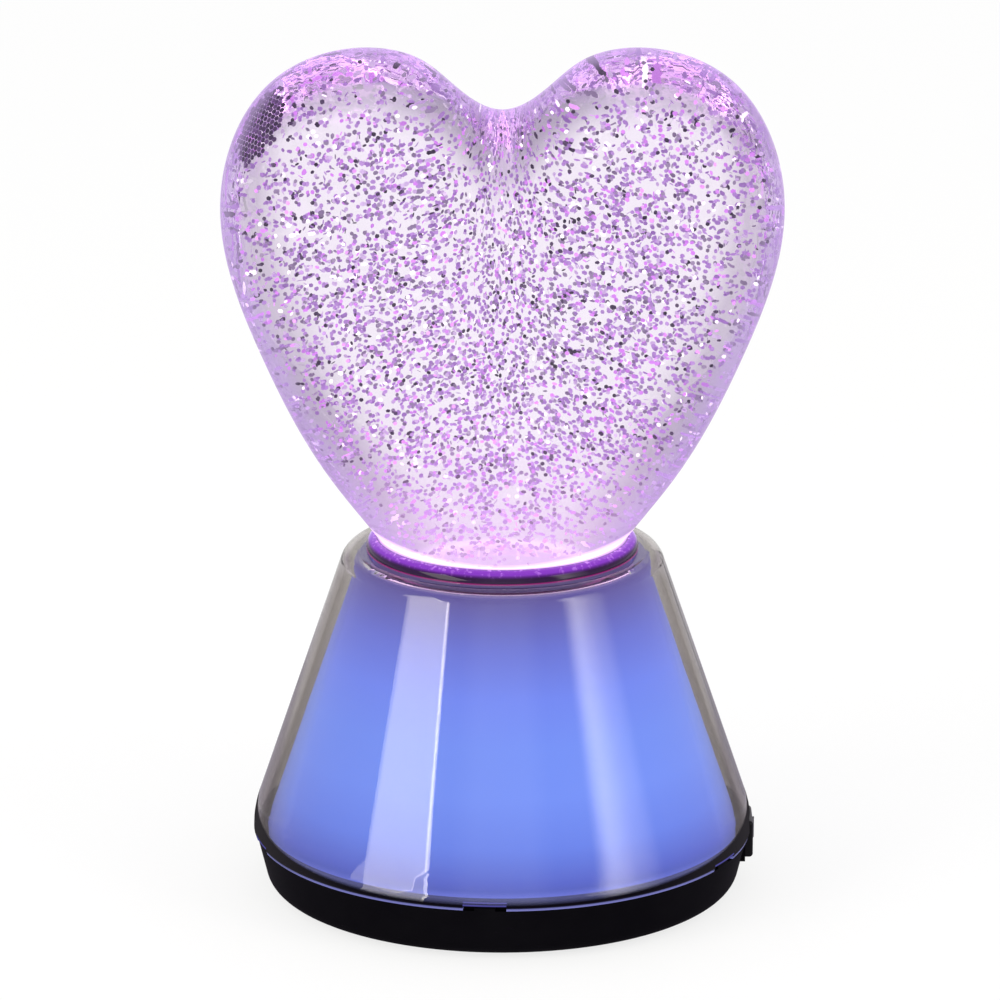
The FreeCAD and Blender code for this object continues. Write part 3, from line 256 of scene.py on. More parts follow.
@dataclass(frozen=True)
class Moulding(Finish):
    """Injection-moulded plastic or rubber: one colour through, faint mottling, and the grain of its mould."""

    colour: str
    mottle: str
    roughness: float
    grain_mm: float
    grain_depth_mm: float
    specular: float = 0.5
    ior: float = 1.54
    uneven: float = 0.06
    mottle_grains: float = 25.0

    def surface(self, tree: Tree) -> Feed:
        """Adds the plastic's nodes.

        Args:
            tree: Node tree of the material.

        Returns:
            The shader.
        """
        cloud = noise(tree, self.grain_mm * self.mottle_grains)
        grain = noise(tree, self.grain_mm, 3.0)
        gloss = {"Value": grain, "To Min": self.roughness - self.uneven, "To Max": self.roughness + self.uneven}
        inputs = {
            "Base Color": add(tree, "ValToRGB", {"Fac": cloud}, ((0.3, self.colour), (0.7, self.mottle))),
            "Roughness": add(tree, "MapRange", gloss),
            "Specular IOR Level": self.specular,
            "IOR": self.ior,
            "Normal": add(tree, "Bump", {"Height": grain, "Distance": self.grain_depth_mm * MM}),
        }
        return add(tree, "BsdfPrincipled", inputs)


@dataclass(frozen=True)
class PlatedMetal(Finish):
    """Plated or drawn metal: tinted gloss, slightly uneven from the bath, with faint drawing lines."""

    colour: str
    stain: str
    roughness: float
    line_mm: float
    line_depth_mm: float = 0.01
    line_squeeze: float = 0.05
    smoother: float = 0.08
    rougher: float = 0.1
    stain_mm: float = 6.0

    def surface(self, tree: Tree) -> Feed:
        """Adds the metal's nodes.

        Args:
            tree: Node tree of the material.

        Returns:
            The shader.
        """
        place = add(tree, "TexCoord").outputs["Object"]
        drawn = add(tree, "Mapping", {"Vector": place, "Scale": (1.0, 1.0, self.line_squeeze)})
        lines = add(tree, "TexNoise", {"Vector": drawn, "Scale": 1 / (self.line_mm * MM), "Detail": 2.0})
        gloss = {"Value": lines, "To Min": self.roughness - self.smoother, "To Max": self.roughness + self.rougher}
        stops = (0.35, self.colour), (0.75, self.stain)
        inputs = {
            "Base Color": add(tree, "ValToRGB", {"Fac": noise(tree, self.stain_mm)}, stops),
            "Metallic": 1.0,
            "Roughness": add(tree, "MapRange", gloss),
            "Normal": add(tree, "Bump", {"Height": lines, "Distance": self.line_depth_mm * MM}),
        }
        return add(tree, "BsdfPrincipled", inputs)


class Lay(Enum):
    """How a band lies on its wall: as painted shade over it, painted light in its place, or painted light added to
    it.
    """

    PAINTED_SHADE = "printed"
    LIT = "lit"
    ADDED = "added"


@dataclass(frozen=True)
class Band:
    """A band of painted shade or painted light round a clear wall, between two heights, the upper of which it fades
    out at.

    It may reach higher where the wall is looked at edge-on, or the further it is to the left or right. With angles
    round the lamp it lies only there, as bars of a half width.
    """

    lay: Lay
    shades: Stops
    high_mm: float
    fade_mm: float
    low_mm: float = 0.0
    strength: float = 1.0
    edge_rise_mm: float = 0.0
    side_rise_mm: float = 0.0
    side_half_mm: float = 1.0
    angles: tuple[float, ...] = ()
    half_mm: float = 0.0

    def rise(self, tree: Tree) -> Feed:
        """Gives how much higher than its height the band reaches.

        Args:
            tree: Node tree of the material.

        Returns:
            The rise, in metres.
        """
        place = add(tree, "TexCoord").outputs["Object"]
        across = add(tree, "SeparateXYZ", {"Vector": place}).outputs["X"]
        side = add(tree, "Math", {0: across, 1: self.side_half_mm * MM}, operation="DIVIDE")
        out = add(tree, "Math", {0: side, 1: 2.0}, operation="POWER")
        out = add(tree, "Math", {0: out, 1: self.side_rise_mm * MM}, operation="MULTIPLY")
        facing = add(tree, "LayerWeight", {"Blend": 0.5}).outputs["Facing"]
        edge = add(tree, "Math", {0: facing, 1: 2.0}, operation="POWER")
        return add(tree, "Math", {0: edge, 1: self.edge_rise_mm * MM, 2: out}, operation="MULTIPLY_ADD")

    def share(self, tree: Tree) -> Feed:
        """Tells where the band lies.

        Args:
            tree: Node tree of the material.

        Returns:
            A number from 0 to 1.
        """
        below = height(tree, self.high_mm, self.high_mm - self.fade_mm, self.rise(tree))
        over = height(tree, self.low_mm, self.low_mm + SHARP_MM)
        band = add(tree, "Math", {0: below, 1: over}, operation="MULTIPLY")
        if not self.angles:
            return band
        place = add(tree, "TexCoord").outputs["Object"]
        found = 0.0
        for angle in self.angles:
            east, north = math.cos(math.radians(angle)), math.sin(math.radians(angle))
            side = add(tree, "VectorMath", {0: place, 1: (-north, east, 0.0)}, operation="DOT_PRODUCT")
            front = add(tree, "VectorMath", {0: place, 1: (east, north, 0.0)}, operation="DOT_PRODUCT")
            near = add(tree, "Math", {0: side, 1: 0.0, 2: self.half_mm * MM}, operation="COMPARE")
            ahead = add(tree, "Math", {0: front, 1: 0.0}, operation="GREATER_THAN")
            here = add(tree, "Math", {0: near, 1: ahead}, operation="MULTIPLY")
            found = add(tree, "Math", {0: found, 1: here}, operation="MAXIMUM")
        return add(tree, "Math", {0: band, 1: found}, operation="MULTIPLY")

    def over(self, tree: Tree, clear: Feed) -> Feed:
        """Lays the band over a shader.

        Args:
            tree: Node tree of the material.
            clear: The shader.

        Returns:
            The shader with its band.
        """
        share, colour = self.share(tree), by_slant(tree, self.shades)
        # Painted shade: a dark diffuse sheet laid over the wall.
        if self.lay is Lay.PAINTED_SHADE:
            return add(tree, "MixShader", {0: share, 1: clear, 2: add(tree, "BsdfDiffuse", {"Color": colour})})
        if self.lay is Lay.LIT:
            light = add(tree, "Emission", {"Color": colour, "Strength": self.strength})
            return add(tree, "MixShader", {0: share, 1: clear, 2: light})
        level = add(tree, "Math", {0: share, 1: self.strength}, operation="MULTIPLY")
        return add(tree, "AddShader", {0: clear, 1: add(tree, "Emission", {"Color": colour, "Strength": level})})


@dataclass(frozen=True)
class ClearMoulding(Finish):
    """Polished clear acrylic: sees through, tinted where it is looked at edge-on, with bands of painted light and
    painted shade on it.

    Its tints fade by a share between two heights. Its lean turns the shading upwards near the foot, so that
    reflections run straight on over its skirt. Its veil is a painted mist of light where it is looked at edge-on.
    """

    tints: Stops
    tint_fade: float = 0.0
    tint_full_mm: float = 0.0
    tint_end_mm: float = 1.0
    lean: float = 0.0
    lean_low_mm: float = 0.0
    lean_high_mm: float = 1.0
    veil: str = WHITE
    veil_shares: Stops = ()
    bands: tuple[Band, ...] = ()
    ior: float = ACRYLIC_IOR

    def tint(self, tree: Tree) -> Feed | tuple[float, ...]:
        """Gives the tint, weaker where its fade has ended.

        Args:
            tree: Node tree of the material.

        Returns:
            The colour.
        """
        tint = by_slant(tree, self.tints)
        if not self.tint_fade:
            return tint
        rise = height(tree, self.tint_full_mm, self.tint_end_mm)
        part = add(tree, "Math", {0: rise, 1: self.tint_fade}, operation="MULTIPLY")
        return add(tree, "Mix", {"Factor": part, "A": tint, "B": linear(self.tints[0][1])}, data_type="RGBA")

    def leaned(self, tree: Tree) -> Feed:
        """Gives the wall's normal, turned upwards near its foot.

        Args:
            tree: Node tree of the material.

        Returns:
            The normal.
        """
        straight = height(tree, self.lean_high_mm, self.lean_low_mm)
        up = add(tree, "VectorMath", {0: (0.0, 0.0, self.lean), "Scale": straight}, operation="SCALE")
        face = add(tree, "NewGeometry").outputs["Normal"]
        turned = add(tree, "VectorMath", {0: face, 1: up}, operation="ADD")
        return add(tree, "VectorMath", {0: turned}, operation="NORMALIZE")

    def surface(self, tree: Tree) -> Feed:
        """Adds the acrylic's nodes.

        Args:
            tree: Node tree of the material.

        Returns:
            The shader.
        """
        inputs = {"Color": self.tint(tree), "Roughness": 0.0, "IOR": self.ior}
        if self.lean:
            inputs["Normal"] = self.leaned(tree)
        clear = lets_lamps_through(tree, add(tree, "BsdfGlass", inputs))
        if self.veil_shares:
            mist = add(tree, "Emission", {"Color": linear(self.veil), "Strength": 1.0})
            clear = add(tree, "MixShader", {0: by_slant(tree, self.veil_shares), 1: clear, 2: mist})
        for band in self.bands:
            clear = band.over(tree, clear)
        return clear


@dataclass(frozen=True)
class Liquid(Finish):
    """Water with a little glycol: clear, with pink light painted in near the neck, where the lamps shine in.

    The wall round it bends the light, so the liquid itself only adds its painted glow.
    """

    tint: str
    painted_glow: str
    painted_glow_share: float
    painted_glow_full_mm: float
    painted_glow_end_mm: float

    def surface(self, tree: Tree) -> Feed:
        """Adds the liquid's nodes.

        Args:
            tree: Node tree of the material.

        Returns:
            The shader.
        """
        clear = add(tree, "BsdfTransparent", {"Color": linear(self.tint)})
        rise = height(tree, self.painted_glow_end_mm, self.painted_glow_full_mm)
        curve = add(tree, "Math", {0: rise, 1: 2.0}, operation="POWER")
        share = add(tree, "Math", {0: curve, 1: self.painted_glow_share}, operation="MULTIPLY")
        # Painted light: a pink glow by height, strongest at the neck.
        light = add(tree, "Emission", {"Color": linear(self.painted_glow), "Strength": 1.0})
        return add(tree, "MixShader", {0: share, 1: clear, 2: light})


@dataclass(frozen=True)
class LitMoulding(Finish):
    """Clear or frosted plastic with lights in or behind it: an even glow with soft patches.

    Its colour may change from one height to another, and it may be a share dimmer on the left, which is painted
    shade. Frost is a grain on its face.
    """

    body: str
    glow: Stops
    strength: float
    low_mm: float = 0.0
    high_mm: float = 1.0
    left: float = 1.0
    half_mm: float = 60.0
    patch_mm: float = 4.0
    patch_share: float = 0.2
    frost_mm: float = 0.5
    frost_depth_mm: float = 0.0
    roughness: float = 0.25
    specular: float = 0.5

    def surface(self, tree: Tree) -> Feed:
        """Adds the lit plastic's nodes.

        Args:
            tree: Node tree of the material.

        Returns:
            The shader.
        """
        least, most = self.strength * (1 - self.patch_share), self.strength * (1 + self.patch_share)
        patch = {"Value": noise(tree, self.patch_mm, 1.0), "To Min": least, "To Max": most}
        place = add(tree, "TexCoord").outputs["Object"]
        across = add(tree, "SeparateXYZ", {"Vector": place}).outputs["X"]
        # Painted shade: the glow falls to a share on the left.
        span = {"Value": across, "From Min": -self.half_mm * MM, "From Max": self.half_mm * MM, "To Min": self.left}
        level = {0: add(tree, "MapRange", patch), 1: add(tree, "MapRange", span)}
        inputs = {
            "Base Color": linear(self.body),
            "Roughness": self.roughness,
            "IOR": ACRYLIC_IOR,
            "Specular IOR Level": self.specular,
            "Emission Color": linear(self.glow[0][1]),
            "Emission Strength": add(tree, "Math", level, operation="MULTIPLY"),
        }
        if len(self.glow) > 1:
            rise = height(tree, self.low_mm, self.high_mm)
            inputs["Emission Color"] = add(tree, "ValToRGB", {"Fac": rise}, self.glow)
        if self.frost_depth_mm:
            frost = {"Height": noise(tree, self.frost_mm), "Distance": self.frost_depth_mm * MM}
            inputs["Normal"] = add(tree, "Bump", frost)
        return add(tree, "BsdfPrincipled", inputs)


@dataclass(frozen=True)
class SmokedGloss(Finish):
    """Polished dark polycarbonate with a painted reflection of the light under the heart, more so near its inner
    edge.

    The painted glow follows the ring's profile: the way outwards across its top, and then down its side. Its painted
    glints reach only so far. Its skirt, which stands in the cone, has the cone's own light painted on it.
    """

    colour: str
    glow: Stops
    sparkle: str
    sparkle_mm: float
    sparkle_spots: Stops
    sparkle_reach: Stops
    inner_mm: float
    top_mm: float
    profile_mm: float
    skirt: str
    skirt_top_mm: float

    def surface(self, tree: Tree) -> Feed:
        """Adds the dark plastic's nodes.

        Args:
            tree: Node tree of the material.

        Returns:
            The shader.
        """
        place = add(tree, "TexCoord").outputs["Object"]
        flat = add(tree, "VectorMath", {0: place, 1: (1.0, 1.0, 0.0)}, operation="MULTIPLY")
        radius = add(tree, "VectorMath", {0: flat}, operation="LENGTH")
        rise = add(tree, "SeparateXYZ", {"Vector": place}).outputs["Z"]
        way = add(tree, "Math", {0: radius, 1: rise}, operation="SUBTRACT")
        start = (self.inner_mm - self.top_mm) * MM
        along = add(tree, "MapRange", {"Value": way, "From Min": start, "From Max": start + self.profile_mm * MM})
        spots = add(tree, "ValToRGB", {"Fac": noise(tree, self.sparkle_mm, 3.0)}, self.sparkle_spots)
        reach = add(tree, "ValToRGB", {"Fac": along}, self.sparkle_reach)
        share = add(tree, "Math", {0: reach, 1: spots}, operation="MULTIPLY")
        # Painted reflection of the light under the heart, with painted glints.
        inputs = {"Factor": share, "A": add(tree, "ValToRGB", {"Fac": along}, self.glow), "B": linear(self.sparkle)}
        ring = add(tree, "Mix", inputs, data_type="RGBA")
        inside = height(tree, self.skirt_top_mm, self.skirt_top_mm - SHARP_MM)
        # Painted light of the cone on the skirt.
        light = add(tree, "Mix", {"Factor": inside, "A": ring, "B": linear(self.skirt)}, data_type="RGBA")
        inputs = {
            "Base Color": linear(self.colour),
            "Roughness": 0.06,
            "IOR": 1.58,
            "Specular IOR Level": 0.2,
            "Emission Color": light,
            "Emission Strength": 1.0,
        }
        return add(tree, "BsdfPrincipled", inputs)


@dataclass(frozen=True)
class SolderMask(Finish):
    """Green solder mask over copper: glossy lacquer with paler tracks of a real width under it."""

    colour: str
    track: str
    track_mm: float
    track_widths: float = 12.0
    track_depth_mm: float = 0.03

    def surface(self, tree: Tree) -> Feed:
        """Adds the board's nodes.

        Args:
            tree: Node tree of the material.

        Returns:
            The shader.
        """
        place = add(tree, "TexCoord").outputs["Object"]
        cells = {"Vector": place, "Scale": 1 / (self.track_mm * self.track_widths * MM)}
        tracks = add(tree, "TexVoronoi", cells, feature="DISTANCE_TO_EDGE", distance="EUCLIDEAN")
        stops = (0.0, self.track), (0.08, self.track), (0.1, self.colour)
        inputs = {
            "Base Color": add(tree, "ValToRGB", {"Fac": tracks}, stops),
            "Roughness": 0.3,
            "IOR": 1.5,
            "Normal": add(tree, "Bump", {"Height": tracks, "Distance": self.track_depth_mm * MM}),
        }
        return add(tree, "BsdfPrincipled", inputs)


@dataclass(frozen=True)
class WireSleeve(Finish):
    """Insulated wires of several colours: each separate wire takes one of them."""

    colours: Stops
    roughness: float
    grain_mm: float
    grain_depth_mm: float = 0.02

    def surface(self, tree: Tree) -> Feed:
        """Adds the sleeves' nodes.

        Args:
            tree: Node tree of the material.

        Returns:
            The shader.
        """
        chance = add(tree, "NewGeometry").outputs["Random Per Island"]
        grain = {"Height": noise(tree, self.grain_mm), "Distance": self.grain_depth_mm * MM}
        inputs = {
            "Base Color": add(tree, "ValToRGB", {"Fac": chance}, self.colours),
            "Roughness": self.roughness,
            "Normal": add(tree, "Bump", grain),
        }
        return add(tree, "BsdfPrincipled", inputs)


@dataclass(frozen=True)
class GlitterFilm(Finish):
    """Metallised polyester film, punched into hexagons: each flake has its own shade, with painted light on it: an
    even painted backlight, and painted pink light that lifts it near the neck.

    Where the shade isn't by the flake, it changes from place to place.
    """

    shades: Stops
    backlight: float
    roughness: float
    by_flake: bool = True
    cloud_mm: float = 9.0
    glow: str = "#E6AAF8"
    glow_full_mm: float = 98.0
    glow_end_mm: float = 165.0
    glow_strength: float = 0.6

    def surface(self, tree: Tree) -> Feed:
        """Adds the film's nodes.

        Args:
            tree: Node tree of the material.

        Returns:
            The shader.
        """
        island = add(tree, "NewGeometry").outputs["Random Per Island"]
        shade = add(tree, "ValToRGB", {"Fac": island if self.by_flake else noise(tree, self.cloud_mm)}, self.shades)
        # Painted light: pink near the neck, over an even painted backlight.
        near = height(tree, self.glow_end_mm, self.glow_full_mm)
        curve = add(tree, "Math", {0: near, 1: 2.0}, operation="POWER")
        tinted = {"Factor": curve, "A": shade, "B": linear(self.glow)}
        lift = {"Value": curve, "To Min": self.backlight, "To Max": self.glow_strength}
        inputs = {
            "Base Color": shade,
            "Metallic": 0.3,
            "Roughness": self.roughness,
            "Emission Color": add(tree, "Mix", tinted, data_type="RGBA"),
            "Emission Strength": add(tree, "MapRange", lift),
        }
        return add(tree, "BsdfPrincipled", inputs)


@dataclass(frozen=True)
class StudioFloor(Finish):
    """Seamless paper: white to the eye, with the object's shadow kept on it.

    Gloss and clear walls show it with a painted shade near the lamp, where the lamp itself stands in the studio's
    light.
    """

    colour: str
    shadow_share: float
    near: str
    near_mm: float
    far_mm: float

    def surface(self, tree: Tree) -> Feed:
        """Adds the paper's nodes.

        Args:
            tree: Node tree of the material.

        Returns:
            The shader.
        """
        place = add(tree, "TexCoord").outputs["Object"]
        away = add(tree, "VectorMath", {0: place}, operation="LENGTH")
        span = {"Value": away, "From Min": self.near_mm * MM, "From Max": self.far_mm * MM}
        ring = add(tree, "MapRange", span, interpolation_type="SMOOTHSTEP")
        # Painted shade near the lamp, for gloss and clear walls.
        shade = add(tree, "ValToRGB", {"Fac": ring}, ((0.0, self.near), (1.0, WHITE)))
        white = add(tree, "Emission", {"Color": surroundings(tree, place, shade), "Strength": 1.0})
        share = {"Value": seen_directly(tree), "To Min": 1.0, "To Max": self.shadow_share}
        paper = add(tree, "BsdfDiffuse", {"Color": linear(self.colour)})
        return add(tree, "MixShader", {0: add(tree, "MapRange", share), 1: white, 2: paper})


# Moulded ABS with an eroded mould: no gloss, the light only greys it at a slant.
BLACK_ABS = Moulding("matte_black_abs", "#060509", "#09080C", 0.62, 0.4, 0.012, specular=0.025)
# Polished black polycarbonate, as switches have: dark with soft highlights.
BLACK_PC = Moulding("switch_polycarbonate", "#050507", "#08080A", 0.3, 0.8, 0.004, specular=0.15)
# White ABS inside parts: chalky, slightly yellow.
WHITE_ABS = Moulding("white_abs_moulding", "#E2E0D8", "#D8D5CB", 0.5, 0.6, 0.01)
# Soft rubber feet: dark grey and dull.
FOOT_RUBBER = Moulding("soft_foot_rubber", "#1A1A1B", "#222223", 0.85, 0.5, 0.03, specular=0.2)
# Silicone seal: milky, a little shine.
SEAL_SILICONE = Moulding("milky_silicone", "#CFCFD2", "#C3C3C8", 0.4, 1.0, 0.01)
# Moulded epoxy of a chip: black with a sandy skin.
CHIP_EPOXY = Moulding("chip_epoxy", "#161618", "#1E1E20", 0.7, 0.15, 0.01, specular=0.3)
# Sintered ferrite: charcoal, granular.
FERRITE = Moulding("sintered_ferrite", "#3A3A3C", "#2E2E30", 0.6, 0.25, 0.02)
# Zinc-plated steel: bluish grey gloss.
ZINC_STEEL = PlatedMetal("zinc_plated_steel", "#B9BCC0", "#A3A7AD", 0.3, 0.3)
# Nickel-plated magnets: bright and warm.
NICKEL = PlatedMetal("nickel_plate", "#C9C4BA", "#B6B1A6", 0.18, 0.4)
# Sprung brass contacts: yellow gloss.
BRASS = PlatedMetal("sprung_brass", "#C9A45A", "#B08A45", 0.28, 0.3)
# Heart wall: thick polished acrylic, lavender where it is looked at edge-on, with a painted lavender mist of light at
# its outline and a painted band of white-pink light just above the neck.
HEART_ACRYLIC = ClearMoulding(
    "polished_heart_acrylic",
    ((0.0, "#FCF8FE"), (0.4, "#FBF6FD"), (0.55, "#F4EBFD"), (0.68, "#EBDDFB"), (0.9, "#EADBFA"), (1.0, WHITE)),
    # Painted light: a lavender mist where the wall is looked at edge-on.
    veil="#DEC2F8",
    veil_shares=((0.45, BLACK), (0.62, "#969696"), (0.85, "#ACACAC"), (1.0, "#8C8C8C")),
    # Painted light: a white-pink band just above the neck, reaching higher to the sides.
    bands=(Band(Lay.ADDED, ((0.0, "#FFD8FF"),), 101.6, 1.3, strength=0.8, side_rise_mm=2.9, side_half_mm=33.0),),
)
# Outer cone: lightly smoked acrylic, grey at the sides, with a painted violet line of light along its lower edge. Its
# bands are, in order, painted light from the foot, painted shade over the rim, painted light on the notches' upper
# edges, and painted light along the lower edge.
SMOKED_ACRYLIC = ClearMoulding(
    "smoked_cone_acrylic",
    ((0.0, "#F6F5F4"), (0.5, "#F4F2F1"), (0.6, "#E6E4E0"), (0.7, "#C4C1B8"), (0.84, "#D8D7D3"), (1.0, "#F0F0F0")),
    tint_fade=0.4,
    tint_full_mm=90.0,
    tint_end_mm=94.0,
    lean=0.34,
    lean_low_mm=16.8,
    lean_high_mm=24.7,
    bands=(
        # Painted light that comes up from the foot.
        Band(Lay.ADDED, ((0.0, "#666CB0"),), 20.0, SOFT_MM, strength=0.24),
        # Painted shade: a dark band over the rim, a little lighter where the wall is looked at edge-on.
        Band(Lay.PAINTED_SHADE, ((0.2, "#0A0810"), (0.8, "#2A282C")), 17.6, SOFT_MM, low_mm=15.8, edge_rise_mm=9.0),
        # Painted light: bars on the notches' upper edges.
        Band(
            Lay.LIT, ((0.0, "#5653A6"),), 17.15, SHARP_MM, low_mm=16.5, angles=(-94.0, -28.0, 51.0, 123.0, 195.0),
            half_mm=5.85,
        ),
        # Painted light along the lower edge.
        Band(Lay.ADDED, ((0.0, "#6F6FB0"),), 15.5, 0.2, strength=0.38),
    ),
)
# Stirrer: clear unlit moulding.
CLEAR_STIRRER = ClearMoulding("clear_stirrer_moulding", ((0.0, "#F2F0F6"), (1.0, "#D5CDE2")))
# Liquid: water-clear, with a painted pink glow at the neck.
LIQUID = Liquid("glycol_water", WHITE, "#F6D6FF", 0.55, 100.0, 142.0)
# The same acrylic on the inside, where light bends only by the ratio of the two: nearly invisible, with a bright
# streaky band at the outline.
WET_ACRYLIC = ClearMoulding("wet_heart_acrylic", ((0.0, WHITE),), ior=ACRYLIC_IOR / LIQUID_IOR)
# Inner cone: frosted, with a painted blue glow for the lights on the lower board, greyer towards its top, and
# painted shade that dims its left.
BLUE_FROST = LitMoulding(
    "blue_lit_frosted_pp",
    "#1A1B2C",
    (
        (0.0, "#4250A8"), (0.073, "#4F62D0"), (0.185, "#6282F2"), (0.345, "#6E91FF"),
        (0.505, "#6E91FF"), (0.666, "#6C88FB"), (0.825, "#6472DC"), (0.986, "#5A509E"),
    ),
    strength=1.21,
    low_mm=15.0,
    high_mm=94.0,
    # Painted shade: the glow is a share dimmer on the left.
    left=0.88,
    patch_mm=45.0,
    patch_share=0.04,
    frost_depth_mm=0.01,
    roughness=0.6,
    specular=0.2,
)
# Collar: black gloss with painted violet reflections and painted glints in its upper edge, and painted light on its
# skirt.
COLLAR_GLOSS = SmokedGloss(
    "smoked_collar_gloss",
    "#120A1C",
    (
        (0.0, "#F0CCFF"), (0.07, "#CF98FF"), (0.1, "#32124C"), (0.13, "#8E3CC8"), (0.33, "#8434C2"),
        (0.41, "#4C1270"), (0.46, "#260632"), (0.58, "#20052C"), (0.6, "#8E1E68"), (0.63, "#8E1E68"),
        (0.66, "#5B5590"), (1.0, "#5B5590"),
    ),
    "#D88CFF",
    sparkle_mm=1.3,
    sparkle_spots=((0.54, BLACK), (0.66, WHITE)),
    sparkle_reach=((0.09, BLACK), (0.12, WHITE), (0.37, "#808080"), (0.45, "#202020"), (0.6, BLACK)),
    inner_mm=33.35,
    top_mm=100.1,
    profile_mm=12.0,
    skirt="#7A70B0",
    skirt_top_mm=96.7,
)
# Plug over the pink lights: a painted white-pink glow all over, for their light that passes through it.
LIT_PLUG = LitMoulding("lit_neck_plug", "#F2D8F2", ((0.0, "#FFB4FF"),), 1.2)
# Moulded lenses of the lights: a saturated glow of their own colour.
PINK_LIGHT = LitMoulding("lit_pink_lens", "#F5C6EE", ((0.0, "#FF6FE0"),), 3.0)
BLUE_LIGHT = LitMoulding("lit_blue_lens", "#C6CCF5", ((0.0, "#5A6CFF"),), 3.0)
# Printed circuit board: green lacquer over paler copper tracks.
BOARD = SolderMask("green_solder_mask", "#0C4A22", "#1D7A3C", 0.5)
# Steel can in a plain printed sleeve: dark satin.
CELL_SLEEVE = Moulding("printed_cell_sleeve", "#20262B", "#252B31", 0.3, 1.0, 0.02)
# Insulated wire: each lead is dull red or black.
WIRE_SLEEVE = WireSleeve("wire_insulation", ((0.499, "#8E1414"), (0.501, "#1B1B1D")), 0.45, 0.6)
# Seamless paper: pure white to the eye, with a faint shadow, and a painted shade near the lamp that gloss and clear
# walls show.
PAPER = StudioFloor("seamless_paper", WHITE, 0.22, "#C4BDCC", near_mm=240.0, far_mm=340.0)


def finished(name: str, shape: bmesh.types.BMesh, finish: Finish) -> bpy.types.Object:
    """Turns a finished shape into an object of the scene.

    Args:
        name: Name of the piece.
        shape: The shape, which is used up.
        finish: What it is made of.

    Returns:
        The object, at the origin.
    """
    mesh = bpy.data.meshes.new(name)
    shape.to_mesh(mesh)
    shape.free()
    mesh.materials.append(finish.material())
    piece = bpy.data.objects.new(name, mesh)
    bpy.context.collection.objects.link(piece)
    return piece


@dataclass(frozen=True)
class SoftBox:
    """One soft box that faces the lamp.

    Its azimuth counts degrees to the right of the camera's side, its elevation degrees above the floor, and its lean
    the degrees that its lower end is turned to its right. Its level is the brightness of the brightest part of its
    face, where 1 is white, and its profile gives shares of it from one side of the face to the other.
    """

    name: str
    azimuth: float
    elevation: float
    wide: float
    high: float
    level: float
    profile: Stops
    lean: float = 0.0
    distance: float = 1.3
    aim_height: float = 0.11

    def build(self) -> bpy.types.Object:
        """Makes the light, which the camera itself doesn't see.

        Returns:
            The light.
        """
        turn, rise = math.radians(self.azimuth), math.radians(self.elevation)
        way = Vector((math.sin(turn) * math.cos(rise), -math.cos(turn) * math.cos(rise), math.sin(rise)))
        lamp = bpy.data.lights.new(self.name, "AREA")
        lamp.shape = "RECTANGLE"
        lamp.size, lamp.size_y = self.wide, self.high
        lamp.energy = self.level * math.pi * self.wide * self.high
        lamp.use_nodes = True
        tree = lamp.node_tree
        tree.nodes.clear()
        across = add(tree, "NewGeometry").outputs["Parametric"]
        side = add(tree, "SeparateXYZ", {"Vector": across}).outputs["X"]
        colour = add(tree, "ValToRGB", {"Fac": side}, self.profile)
        add(tree, "OutputLight", {"Surface": add(tree, "Emission", {"Color": colour, "Strength": 1.0})})
        box = bpy.data.objects.new(self.name, lamp)
        box.location = Vector((0, 0, self.aim_height)) + way * self.distance
        facing = way.to_track_quat("Z", "Y") @ Quaternion((0, 0, 1), math.radians(self.lean))
        box.rotation_euler = facing.to_euler()
        box.visible_camera = False
        bpy.context.collection.objects.link(box)
        return box


# Box on the left: an even face with one bright edge, which leaves the hard stripe on the cone.
EDGED_BOX = SoftBox(
    "softbox_left", -51.4, 12.6, 0.6, 1.0, 13.0,
    ((0.0, "#9A978E"), (0.955, "#9A978E"), (0.965, "#FFFAEC"), (1.0, "#FFFAEC")),
    lean=40.0,
)
# Box on the right: its face fades out to both sides, which leaves the soft stripe.
FADED_BOX = SoftBox(
    "softbox_right", 60.0, 13.0, 0.8, 1.2, 4.0,
    (
        (0.0, BLACK), (0.08, "#888680"), (0.18, "#DEDBD2"), (0.28, "#FFFCF2"), (0.42, "#E6E3DA"), (0.6, "#B0AEA8"),
        (0.8, "#86847F"), (1.0, BLACK),
    ),
)


